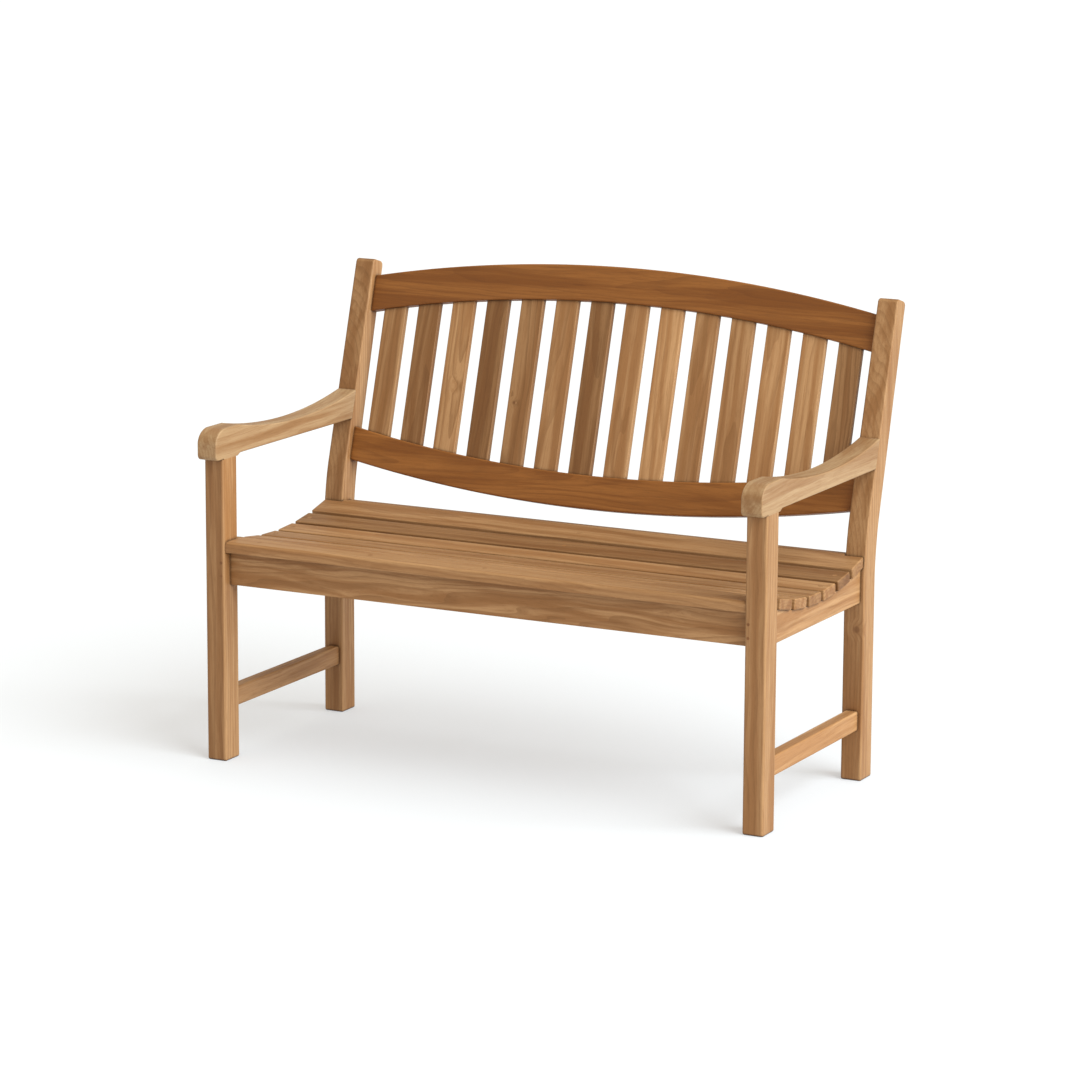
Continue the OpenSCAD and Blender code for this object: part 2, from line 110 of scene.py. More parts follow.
@dataclass(frozen=True)
class Knot:
    """A small sound knot that the rings flow round.

    Attributes:
        centre: Its middle, in metres.
        radius: How far it bends the grain, in metres.
        dark: How dark its core is, from 0 to 1.
        push: How far it pushes the rings aside, as a share of its radius.
        rim: Nearness to its middle at which the core starts to show.
        heart: Nearness at which it shows in full.
    """

    centre: Point
    radius: float
    dark: float = 0.5
    push: float = 0.35
    rim: float = 0.72
    heart: float = 0.95


@dataclass(frozen=True)
class Board:
    """How one board was taken from the log, and how it weathered.

    Attributes:
        grain: Direction of its fibres.
        seed: Picks its place in the log.
        tone: 0 for dark reddish heartwood, 1 for pale straw-coloured wood.
        painted_light_side: How much lighter the face towards the right end of the bench is painted, as
            painted light from the right, from 0 to 1.
        pith: Distance of the board from the heart of the log, in metres.
        drift: How far the rings run out of the face over a metre, in metres.
    """

    grain: Grain
    seed: int
    tone: float = 0.5
    painted_light_side: float = 0.0
    pith: float = 70 * MM
    drift: float = 18 * MM


def to_linear(hex_colour: str) -> Colour:
    """Turns an sRGB hex colour into linear light.

    Args:
        hex_colour: Six hex digits after a hash.

    Returns:
        Red, green, blue and an alpha of 1.
    """
    parts = [int(hex_colour[i : i + 2], 16) / 255 for i in (1, 3, 5)]
    red, green, blue = [c / 12.92 if c <= 0.04045 else ((c + 0.055) / 1.055) ** 2.4 for c in parts]
    return (red, green, blue, 1.0)


def add(
    tree: bpy.types.NodeTree,
    kind: str,
    settings: dict[str, object] | None = None,
    links: dict[str | int, object] | None = None,
) -> bpy.types.Node:
    """Adds a node to a tree.

    Args:
        tree: The material's node tree.
        kind: The node's class name.
        settings: Values for the node's own properties.
        links: For each input, an output socket to join to it or a value to set on it.

    Returns:
        The new node.
    """
    node = tree.nodes.new(kind)
    for name, value in (settings or {}).items():
        setattr(node, name, value)
    for name, value in (links or {}).items():
        if isinstance(value, Socket):
            tree.links.new(value, node.inputs[name])
        else:
            node.inputs[name].default_value = value
    return node


@dataclass(frozen=True, kw_only=True)
class Marks:
    """One kind of mark in the wood.

    Attributes:
        colour: Its sRGB colour.
        start: Level at which it starts to show.
        full: Level at which it shows in full.
        share: How strongly it then covers the wood beneath.
        height: How far it stands out, as a share of the grain's relief.
        crisp: True if only what shows of it stands out, and not its whole swell.
    """

    colour: str
    start: float
    full: float
    share: float
    height: float = 0.0
    crisp: bool = False


@dataclass(frozen=True, kw_only=True)
class Streaks(Marks):
    """Marks that are drawn out along the fibres.

    Attributes:
        along: Streaks per metre along the fibres.
        width: Width of one streak, in metres.
        detail: Octaves of finer streaks in it.
        roughness: How strong the finer streaks are.
    """

    along: float
    width: float
    detail: float
    roughness: float = 0.55

    def level(self, tree: bpy.types.NodeTree, place: Socket) -> Socket:
        """Draws the streaks.

        Args:
            tree: The node tree.
            place: The place in the log.

        Returns:
            Their level, from 0 to 1.
        """
        across = 1 / self.width
        drawn = add(tree, "ShaderNodeMapping", {}, {"Vector": place, "Scale": (self.along, across, across)})
        inputs = {
            "Vector": drawn.outputs["Vector"],
            "Scale": 1.0,
            "Detail": self.detail,
            "Roughness": self.roughness,
        }
        return add(tree, "ShaderNodeTexNoise", {}, inputs).outputs["Fac"]


@dataclass(frozen=True, kw_only=True)
class Rings(Marks):
    """The pore lines that the growth rings start with, round the heart of the log.

    Attributes:
        pitch: Width of one ring, in metres.
        wobble: How unevenly the rings grew.
        wobble_detail: Octaves of finer unevenness.
        wobble_scale: How closely the unevenness follows itself.
    """

    pitch: float
    wobble: float = 1.2
    wobble_detail: float = 2.0
    wobble_scale: float = 0.25

    def level(self, tree: bpy.types.NodeTree, place: Socket) -> Socket:
        """Draws the rings, each growing darker to its pore line.

        Args:
            tree: The node tree.
            place: The place in the log.

        Returns:
            Their level, from 0 to 1.
        """
        settings = {"wave_type": "RINGS", "rings_direction": "X", "wave_profile": "SAW"}
        inputs = {
            "Vector": place,
            "Scale": 2 * math.pi / 20 / self.pitch,  # a wave of scale 1 has 20 radians to the unit
            "Distortion": self.wobble,
            "Detail": self.wobble_detail,
            "Detail Scale": self.wobble_scale,
        }
        return add(tree, "ShaderNodeTexWave", settings, inputs).outputs["Fac"]


@dataclass(frozen=True)
class TeakFinish:
    """Plantation teak, planed, sanded and oiled to a satin.

    Teak is ring-porous: each year's ring starts with a dark line of open pores, over golden brown
    heartwood with broad darker streaks. So the eye sees warm, fine-lined boards that differ from one
    another, with a soft sheen and paler arrises where hands wear them; joints, gaps and the
    undersides of overhangs get painted shade.

    Attributes:
        name: The finish's name.
        pale: Colour of the wood between the rings.
        brown: Colour of the broad streaks.
        ring: Colour of the pore line at the start of each ring.
        fibre: Colour of the fine fibre marks.
        end: Tint of the end grain.
        core: Colour of a knot's core.
        joint: Tint of the painted shade that darkens joints, gaps and the undersides of overhangs.
        dark_tint: What the darkest boards' colours are multiplied by.
        pale_tint: What the palest boards' colours are multiplied by.
        ring_pitch: Width of one growth ring, in metres.
        ring_strength: How strongly the rings show.
        wander: How far the rings wander from their round, in metres.
        wander_scale: Wanders per metre, along the board and across it twice.
        end_share: How strongly the end grain's tint shows.
        wear: How far worn arrises turn pale.
        painted_shade_share: How strongly the painted shade shows.
        painted_shade_reach: How far out of a joint or gap the painted shade reaches, in metres.
        painted_shade_open: Share of open air at which the painted shade starts.
        painted_shade_shut: Share of open air at which the painted shade is strongest.
        relief: How deep the open grain is, in metres.
        relief_share: How strongly that shows.
        roughness: Roughness of the sanded and oiled face, at its smoothest and its roughest.
        satin_from: Levels of the fibres between which the roughness changes.
        ior: Refractive index of the oiled face.
        sheen: How much of a bare surface's shine the open grain leaves.
        knots: Knots in the board.
    """

    name: str
    pale: str = "#a98156"
    brown: str = "#90653b"
    ring: str = "#76502b"
    fibre: str = "#684424"
    end: str = "#e4dcd2"
    core: str = "#5a3218"
    joint: str = "#4c2e19"
    dark_tint: Colour = (0.50, 0.42, 0.34, 1.0)
    pale_tint: Colour = (1.26, 1.27, 1.34, 1.0)
    ring_pitch: float = 7 * MM
    ring_strength: float = 0.34
    wander: float = 26 * MM
    wander_scale: Point = (2.6, 14.0, 14.0)
    end_share: float = 0.75
    wear: float = 0.28
    painted_shade_share: float = 0.85
    painted_shade_reach: float = 7 * MM
    painted_shade_open: float = 0.88
    painted_shade_shut: float = 0.4
    relief: float = 0.35 * MM
    relief_share: float = 0.35
    roughness: tuple[float, float] = (0.45, 0.62)
    satin_from: tuple[float, float] = (0.3, 0.7)
    ior: float = 1.46
    sheen: float = 0.3
    knots: tuple[Knot, ...] = ()

    def marks(self) -> dict[str, Streaks | Rings]:
        """Lists the wood's marks, from the broad streaks to the pores.

        Returns:
            The marks by name, in the order in which they are painted.
        """
        brown, fibre = self.brown, self.fibre
        return {
            "streaks": Streaks(
                along=1.6, width=22 * MM, detail=3.0, colour=brown, start=0.40, full=0.62, share=0.95
            ),
            "bands": Streaks(
                along=5.0, width=6 * MM, detail=2.0, colour=brown, start=0.45, full=0.70, share=0.50
            ),
            "rings": Rings(
                pitch=self.ring_pitch,
                colour=self.ring,
                start=0.45,
                full=1.0,
                share=self.ring_strength,
                height=0.25,
                crisp=True,
            ),
            # Wider than the wood's own fibres and pores, which are too fine to show
            "fibres": Streaks(
                along=22.0,
                width=1.5 * MM,
                detail=2.0,
                colour=fibre,
                start=0.50,
                full=0.75,
                share=0.30,
                height=0.7,
            ),
            "pores": Streaks(
                along=60.0,
                width=0.7 * MM,
                detail=1.0,
                colour=fibre,
                start=0.58,
                full=0.72,
                share=0.22,
                height=0.5,
            ),
        }

    def material(self) -> bpy.types.Material:
        """Builds the finish, once.

        Returns:
            The material.
        """
        name = f"oiled_{self.name}"
        made = bpy.data.materials.get(name)
        if made:
            return made
        made = bpy.data.materials.new(name)
        made.use_nodes = True
        tree = made.node_tree
        tree.nodes.clear()
        written = (("grain", "Vector"), ("tone", "Fac"), ("arris", "Fac"), ("end_grain", "Fac"))
        wood, tone, arris, end = (
            add(tree, "ShaderNodeAttribute", {"attribute_name": attribute}).outputs[output]
            for attribute, output in written
        )
        place, knot = self.bend(tree, wood)
        colour, height, fibres = self.paint(tree, place)

        tint = add(
            tree,
            "ShaderNodeMix",
            {"data_type": "RGBA"},
            {0: tone, 6: self.dark_tint, 7: self.pale_tint},
        ).outputs[2]
        cut = add(tree, "ShaderNodeMath", {"operation": "MULTIPLY"}, {0: end, 1: self.end_share})
        worn = add(tree, "ShaderNodeMath", {"operation": "MULTIPLY"}, {0: arris, 1: self.wear})
        for way, share, coat in (
            ("MULTIPLY", 1.0, tint),
            ("MULTIPLY", cut.outputs[0], to_linear(self.end)),
            ("MIX", worn.outputs[0], to_linear(self.pale)),
            ("MIX", knot, to_linear(self.core)),
            # Painted shade: darker where ambient occlusion finds little open air, in joints, gaps and under
            # overhangs
            ("MULTIPLY", self.paint_shade(tree), to_linear(self.joint)),
        ):
            settings = {"data_type": "RGBA", "blend_type": way}
            colour = add(tree, "ShaderNodeMix", settings, {0: share, 6: colour, 7: coat}).outputs[2]

        bump = add(
            tree,
            "ShaderNodeBump",
            {},
            {"Strength": self.relief_share, "Distance": self.relief, "Height": height},
        )
        (low, high), (smooth, rough) = self.satin_from, self.roughness
        satin = add(
            tree,
            "ShaderNodeMapRange",
            {},
            {"Value": fibres, "From Min": low, "From Max": high, "To Min": smooth, "To Max": rough},
        )
        shader = add(
            tree,
            "ShaderNodeBsdfPrincipled",
            {},
            {
                "Base Color": colour,
                "Roughness": satin.outputs["Result"],
                "IOR": self.ior,
                "Specular IOR Level": self.sheen,
                "Normal": bump.outputs["Normal"],
            },
        )
        add(tree, "ShaderNodeOutputMaterial", {}, {"Surface": shader.outputs["BSDF"]})
        return made

    def paint(self, tree: bpy.types.NodeTree, place: Socket) -> tuple[Socket, Socket, Socket]:
        """Lays the marks over the pale wood, one kind after another.

        Args:
            tree: The node tree.
            place: The place in the log.

        Returns:
            The colour, the height of the grain, and the level of the fibres.
        """
        colour, height, levels = to_linear(self.pale), 0.0, {}
        for name, marks in self.marks().items():
            levels[name] = level = marks.level(tree, place)
            shown = add(
                tree,
                "ShaderNodeMapRange",
                {"interpolation_type": "SMOOTHSTEP"},
                {"Value": level, "From Min": marks.start, "From Max": marks.full},
            ).outputs["Result"]
            share = add(tree, "ShaderNodeMath", {"operation": "MULTIPLY"}, {0: shown, 1: marks.share})
            colour = add(
                tree,
                "ShaderNodeMix",
                {"data_type": "RGBA"},
                {0: share.outputs[0], 6: colour, 7: to_linear(marks.colour)},
            ).outputs[2]
            if marks.height:
                raised = shown if marks.crisp else level
                height = add(
                    tree,
                    "ShaderNodeMath",
                    {"operation": "MULTIPLY_ADD"},
                    {0: raised, 1: marks.height, 2: height},
                ).outputs[0]
        return colour, height, levels["fibres"]

    def bend(self, tree: bpy.types.NodeTree, wood: Socket) -> tuple[Socket, Socket | float]:
        """Lets the rings wander along the board and flow round its knots.

        Args:
            tree: The node tree.
            wood: The place in the log.

        Returns:
            The bent place, and how far into a knot's core it is.
        """
        slow = add(tree, "ShaderNodeMapping", {}, {"Vector": wood, "Scale": self.wander_scale})
        wander = add(
            tree,
            "ShaderNodeTexNoise",
            {},
            {"Vector": slow.outputs["Vector"], "Scale": 1.0, "Detail": 2.0, "Roughness": 0.5},
        )
        bent = add(
            tree,
            "ShaderNodeVectorMath",
            {"operation": "MULTIPLY_ADD"},
            {0: wander.outputs["Color"], 1: (0.0, self.wander, self.wander), 2: wood},
        ).outputs["Vector"]
        here = add(tree, "ShaderNodeTexCoord").outputs["Object"]
        core: Socket | float = 0.0
        for knot in self.knots:
            away = add(tree, "ShaderNodeVectorMath", {"operation": "DISTANCE"}, {0: here, 1: knot.centre})
            near = add(
                tree,
                "ShaderNodeMapRange",
                {"interpolation_type": "SMOOTHSTEP"},
                {
                    "Value": away.outputs["Value"],
                    "From Min": 0.0,
                    "From Max": knot.radius,
                    "To Min": 1.0,
                    "To Max": 0.0,
                },
            ).outputs["Result"]
            push = knot.radius * knot.push
            bent = add(
                tree,
                "ShaderNodeVectorMath",
                {"operation": "MULTIPLY_ADD"},
                {0: near, 1: (0.0, push, push), 2: bent},
            ).outputs["Vector"]
            dark = add(
                tree,
                "ShaderNodeMapRange",
                {"interpolation_type": "SMOOTHSTEP"},
                {"Value": near, "From Min": knot.rim, "From Max": knot.heart, "To Max": knot.dark},
            ).outputs["Result"]
            core = add(tree, "ShaderNodeMath", {"operation": "ADD"}, {0: dark, 1: core}).outputs[0]
        return bent, core

    def paint_shade(self, tree: bpy.types.NodeTree) -> Socket:
        """Paints shade into the joints, gaps and undersides, where little open air is near.

        Args:
            tree: The node tree.

        Returns:
            How strongly the painted shade shows.
        """
        # Painted shade from ambient occlusion, not dust or oil
        air = add(tree, "ShaderNodeAmbientOcclusion", {"samples": 6}, {"Distance": self.painted_shade_reach})
        return add(
            tree,
            "ShaderNodeMapRange",
            {},
            {
                "Value": air.outputs["AO"],
                "From Min": self.painted_shade_open,
                "From Max": self.painted_shade_shut,
                "To Max": self.painted_shade_share,
            },
        ).outputs["Result"]


@dataclass(frozen=True)
class SteelFinish:
    """Plain stainless steel screws: bright, with fine rings that the driver and the wood left.

    Attributes:
        name: The finish's name.
        colour: Colour of the steel.
        marks_scale: Fine marks per metre, across the screw twice and along it.
        roughness: Roughness at its smoothest and its roughest.
    """

    name: str = "stainless_steel"
    colour: str = "#c9c8c5"
    marks_scale: Point = (900.0, 900.0, 4000.0)
    roughness: tuple[float, float] = (0.26, 0.42)

    def material(self) -> bpy.types.Material:
        """Builds the finish.

        Returns:
            The material.
        """
        made = bpy.data.materials.new(self.name)
        made.use_nodes = True
        tree = made.node_tree
        tree.nodes.clear()
        here = add(tree, "ShaderNodeTexCoord").outputs["Object"]
        brushed = add(tree, "ShaderNodeMapping", {}, {"Vector": here, "Scale": self.marks_scale})
        marks = add(
            tree,
            "ShaderNodeTexNoise",
            {},
            {"Vector": brushed.outputs["Vector"], "Scale": 1.0, "Detail": 2.0},
        )
        smooth, rough = self.roughness
        satin = add(
            tree,
            "ShaderNodeMapRange",
            {},
            {"Value": marks.outputs["Fac"], "To Min": smooth, "To Max": rough},
        )
        shader = add(
            tree,
            "ShaderNodeBsdfPrincipled",
            {},
            {"Base Color": to_linear(self.colour), "Metallic": 1.0, "Roughness": satin.outputs["Result"]},
        )
        add(tree, "ShaderNodeOutputMaterial", {}, {"Surface": shader.outputs["BSDF"]})
        return made


def sharp_edges(bm: bmesh.types.BMesh, butt: float | None = None) -> list[bmesh.types.BMEdge]:
    """Finds the arrises of a board.

    Args:
        bm: The board.
        butt: If given, arrises whose both ends are this far from the middle in X are left out.

    Returns:
        The edges between faces that meet at more than the arris angle.
    """
    found = []
    for edge in bm.edges:
        if len(edge.link_faces) != 2 or edge.calc_face_angle() < ARRIS_ANGLE:
            continue
        if butt is not None and all(abs(abs(v.co.x) - butt) < EXACT for v in edge.verts):
            continue
        found.append(edge)
    return found


def ease(
    bm: bmesh.types.BMesh, edges: list[bmesh.types.BMEdge], radius: float, segments: int = 4
) -> None:
    """Rounds arrises.

    Args:
        bm: The board.
        edges: The arrises to round.
        radius: Their radius, in metres.
        segments: Faces round each arris.
    """
    bmesh.ops.bevel(
        bm,
        geom=edges,
        offset=radius,
        offset_type="OFFSET",
        affect="EDGES",
        segments=segments,
        profile=0.5,
        material=-1,
        clamp_overlap=True,
    )


def ease_corner(bm: bmesh.types.BMesh, corner: bmesh.types.BMVert, reach: float, segments: int) -> None:
    """Rounds a corner of a profile, starting at a distance from it.

    Args:
        bm: The profile.
        corner: Its corner.
        reach: Distance from the corner to the start of the curve, in metres.
        segments: Edges round the curve.
    """
    bmesh.ops.bevel(
        bm,
        geom=[corner],
        offset=reach,
        offset_type="OFFSET",
        affect="VERTICES",
        segments=segments,
        profile=0.5,
        material=-1,
    )


def sawn(low: Vector, high: Vector) -> bmesh.types.BMesh:
    """Saws a square board.

    Args:
        low: Its lowest corner.
        high: Its highest corner.

    Returns:
        The board, with sharp arrises.
    """
    bm = bmesh.new()
    bmesh.ops.create_cube(bm, size=1.0)
    bmesh.ops.scale(bm, vec=high - low, verts=bm.verts)
    bmesh.ops.translate(bm, vec=(low + high) / 2, verts=bm.verts)
    return bm


def everything(bm: bmesh.types.BMesh) -> list[bmesh.types.BMVert | bmesh.types.BMEdge | bmesh.types.BMFace]:
    """A mesh's vertices, edges and faces."""
    return [*bm.verts, *bm.edges, *bm.faces]


def saw_off(bm: bmesh.types.BMesh, place: Point, away: Point) -> None:
    """Saws a board off along a plane and closes the cut.

    Args:
        bm: The board.
        place: A point on the plane.
        away: The plane's normal, towards the offcut.
    """
    cut = bmesh.ops.bisect_plane(
        bm, geom=everything(bm), plane_co=place, plane_no=away, clear_outer=True
    )
    rim = [e for e in cut["geom_cut"] if isinstance(e, bmesh.types.BMEdge)]
    bmesh.ops.holes_fill(bm, edges=rim, sides=0)


def profile(
    points: list[tuple[float, float]], x: float
) -> tuple[bmesh.types.BMesh, list[bmesh.types.BMVert]]:
    """Lays out the corners of a side profile.

    Args:
        points: Its corners as (Y, Z), in order.
        x: Where it stands across the bench.

    Returns:
        The bmesh with one face, and the corners as vertices.
    """
    bm = bmesh.new()
    corners = [bm.verts.new((x, y, z)) for y, z in points]
    bm.faces.new(corners)
    return bm, corners


def thicken(bm: bmesh.types.BMesh, width: float) -> None:
    """Extrudes a side profile across the bench.

    Args:
        bm: The profile.
        width: The board's width, in metres.
    """
    grown = bmesh.ops.extrude_face_region(bm, geom=list(bm.faces))
    moved = [v for v in grown["geom"] if isinstance(v, bmesh.types.BMVert)]
    bmesh.ops.translate(bm, vec=(width, 0, 0), verts=moved)


def mark_wood(bm: bmesh.types.BMesh, board: Board) -> None:
    """Writes each point's place in the log, the board's tone, its arrises and its end grain.

    Args:
        bm: The board, in place.
        board: How it was cut.
    """
    along, across, through = board.grain.value
    chance = random.Random(board.seed)
    start = chance.uniform(-LOG_REACH, LOG_REACH)
    turn = chance.uniform(-FACE_TURN, FACE_TURN)
    drift = Vector((chance.uniform(-1, 1), chance.uniform(0.4, 1) * chance.choice((-1, 1)))) * board.drift
    centre = sum((v.co for v in bm.verts), Vector()) / len(bm.verts)
    grain = bm.verts.layers.float_vector.new("grain")
    for vert in bm.verts:
        place = vert.co - centre
        u, v, w = place.dot(along), place.dot(across), place.dot(through)
        v += board.pith * math.sin(turn) + drift.x * u
        w += board.pith * math.cos(turn) + drift.y * u
        vert[grain] = Vector((u + start, v, w))
    tone = bm.faces.layers.float.new("tone")
    arris = bm.faces.layers.float.new("arris")
    end = bm.faces.layers.float.new("end_grain")
    for face in bm.faces:
        lined_up = [abs(face.normal.dot(axis)) for axis in board.grain.value]
        # Painted light: faces turned towards the light on the right are painted paler
        face[tone] = board.tone + board.painted_light_side * max(0.0, face.normal.x)
        face[arris] = max(0.0, min(1.0, (ARRIS_START - max(lined_up)) / ARRIS_SPAN))
        face[end] = max(0.0, min(1.0, (lined_up[0] - END_START) / END_SPAN))


def shade(mesh: bpy.types.Mesh) -> None:
    """Gives flat faces flat shading and rounded arrises a smooth turn between them.

    Args:
        mesh: The finished mesh.
    """
    smooth_limit = math.cos(SMOOTH_ANGLE)
    around: list[list[tuple[Vector, float]]] = [[] for _ in mesh.vertices]
    for polygon in mesh.polygons:
        for vertex in polygon.vertices:
            around[vertex].append((polygon.normal.copy(), polygon.area))
    normals = []
    for polygon in mesh.polygons:
        for vertex in polygon.vertices:
            near = [n * a for n, a in around[vertex] if n.dot(polygon.normal) > smooth_limit]
            normals.append(sum(near, Vector()).normalized())
    mesh.polygons.foreach_set("use_smooth", [True] * len(mesh.polygons))
    mesh.normals_split_custom_set(normals)


def finish_piece(
    bm: bmesh.types.BMesh, name: str, board: Board, finish: TeakFinish, slot: str, *nodes: str
) -> bpy.types.Object:
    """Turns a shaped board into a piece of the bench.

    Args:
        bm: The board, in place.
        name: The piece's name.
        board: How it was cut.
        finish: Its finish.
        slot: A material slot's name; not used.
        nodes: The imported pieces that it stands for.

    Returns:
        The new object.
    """
    bmesh.ops.remove_doubles(bm, verts=bm.verts, dist=MERGED)
    bmesh.ops.recalc_face_normals(bm, faces=bm.faces)
    mark_wood(bm, board)
    mesh = bpy.data.meshes.new(name)
    bm.to_mesh(mesh)
    bm.free()
    shade(mesh)
    mesh.materials.append(finish.material())
    piece = bpy.data.objects.new(name, mesh)
    bpy.context.scene.collection.objects.link(piece)
    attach(piece, "root")
    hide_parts(*nodes)
    LOG.info("%s: %d faces", name, len(mesh.polygons))
    return piece


@dataclass
class Layout:
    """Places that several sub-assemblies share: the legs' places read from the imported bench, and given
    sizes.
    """

    front: float = field(init=False)
    half_width: float = field(init=False)
    inner: float = field(init=False)
    leg_width: float = field(init=False)
    leg_depth: float = 52 * MM
    leg_reach: float = 455 * MM
    kink_height: float = 460 * MM
    seat_height: float = 440 * MM

    def __post_init__(self) -> None:
        """Reads the legs' places."""
        low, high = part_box("front_leg_right")
        self.front = low.y
        self.inner = low.x
        self.half_width = high.x
        self.leg_width = high.x - low.x

    @property
    def rear_face(self) -> float:
        """Where the front faces of the rear legs stand."""
        return self.front + self.leg_reach

    def raked(self, depth: float, height: float) -> tuple[float, float]:
        """Gives a point in the leaning back.

        Args:
            depth: Distance behind the leaning front face of the rear legs.
            height: Distance up along it from the kink.

        Returns:
            The point's Y and Z.
        """
        place = INTO_RAKE * depth + UP_RAKE * height
        return self.rear_face + place.y, self.kink_height + place.z

    def raked_front(self, z: float) -> float:
        """Where the leaning front face stands at a height."""
        return self.rear_face + (z - self.kink_height) * math.tan(RAKE)

    def lean(self, bm: bmesh.types.BMesh) -> None:
        """Moves a board drawn as (X, depth, height) into the leaning back."""
        bmesh.ops.rotate(bm, cent=(0, 0, 0), matrix=Matrix.Rotation(-RAKE, 3, "X"), verts=bm.verts)
        bmesh.ops.translate(bm, vec=(0, self.rear_face, self.kink_height), verts=bm.verts)


@dataclass
class Legs:
    """The four legs: straight at the front, bent back at the seat behind."""

    layout: Layout
    corner: float = 5 * MM
    foot_ease: float = 4 * MM
    rear_ease: float = 4 * MM
    raked_length: float = 485 * MM
    top_depth: float = 40 * MM
    bend: float = 62 * MM
    top_round: float = 9 * MM

    def build(self) -> None:
        """Makes the legs."""
        plain = TeakFinish("leg_teak")
        knotty = TeakFinish("knotty_leg_teak", knots=(Knot((0.585, 0.149, 0.300), 26 * MM),))
        # The left legs' lower tones are painted shade, as the bench shades them from the light on the
        # right; their right faces also get painted light
        self.front(Side.LEFT, Board(Grain.UPRIGHT, seed=11, tone=0.36, painted_light_side=0.34, pith=90 * MM), plain)
        self.front(Side.RIGHT, Board(Grain.UPRIGHT, seed=12, tone=0.52, pith=80 * MM), plain)
        self.rear(Side.LEFT, Board(Grain.UPRIGHT, seed=13, tone=0.36, painted_light_side=0.30, pith=85 * MM), plain)
        self.rear(Side.RIGHT, Board(Grain.UPRIGHT, seed=14, tone=0.52, pith=75 * MM), knotty)

    def front(self, side: Side, board: Board, finish: TeakFinish) -> None:
        """Makes a front leg, with rounded corners and an eased foot.

        Args:
            side: Which leg.
            board: How it was cut.
            finish: Its finish.
        """
        node = f"front_leg_{side.word}"
        low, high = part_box(node)
        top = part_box(f"arm_{side.word}")[0].z
        bm = sawn(low, Vector((high.x, high.y, top)))
        upright = [e for e in bm.edges if abs((e.verts[0].co - e.verts[1].co).z) > self.corner]
        ease(bm, upright, self.corner, 5)
        foot = [e for e in bm.edges if all(v.co.z < low.z + CLOSE for v in e.verts)]
        ease(bm, foot, self.foot_ease, 3)
        finish_piece(bm, f"{node}_board", board, finish, "frame_teak", node)

    def rear(self, side: Side, board: Board, finish: TeakFinish) -> None:
        """Makes a rear leg, bent back above the seat and tapering to its rounded top.

        Args:
            side: Which leg.
            board: How it was cut.
            finish: Its finish.
        """
        node = f"rear_leg_{side.word}"
        low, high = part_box(node)
        lay = self.layout
        top_front = lay.raked(0, self.raked_length)
        top_back = lay.raked(self.top_depth, self.raked_length)
        foot_back = lay.raked(lay.leg_depth, 0)
        slope = (top_back[1] - foot_back[1]) / (top_back[0] - foot_back[0])
        rear = lay.rear_face + lay.leg_depth
        rear_kink = (rear, foot_back[1] + slope * (rear - foot_back[0]))
        points = [
            (lay.rear_face, 0.0),
            (lay.rear_face, lay.kink_height),
            top_front,
            top_back,
            rear_kink,
            (rear, 0.0),
        ]
        bm, corners = profile(points, low.x)
        for corner in (corners[1], corners[4]):
            ease_corner(bm, corner, self.bend, 10)
        for corner in (corners[2], corners[3]):
            ease_corner(bm, corner, self.top_round, 5)
        thicken(bm, high.x - low.x)
        ease(bm, sharp_edges(bm), self.rear_ease)
        finish_piece(bm, f"{node}_board", board, finish, "frame_teak", node)


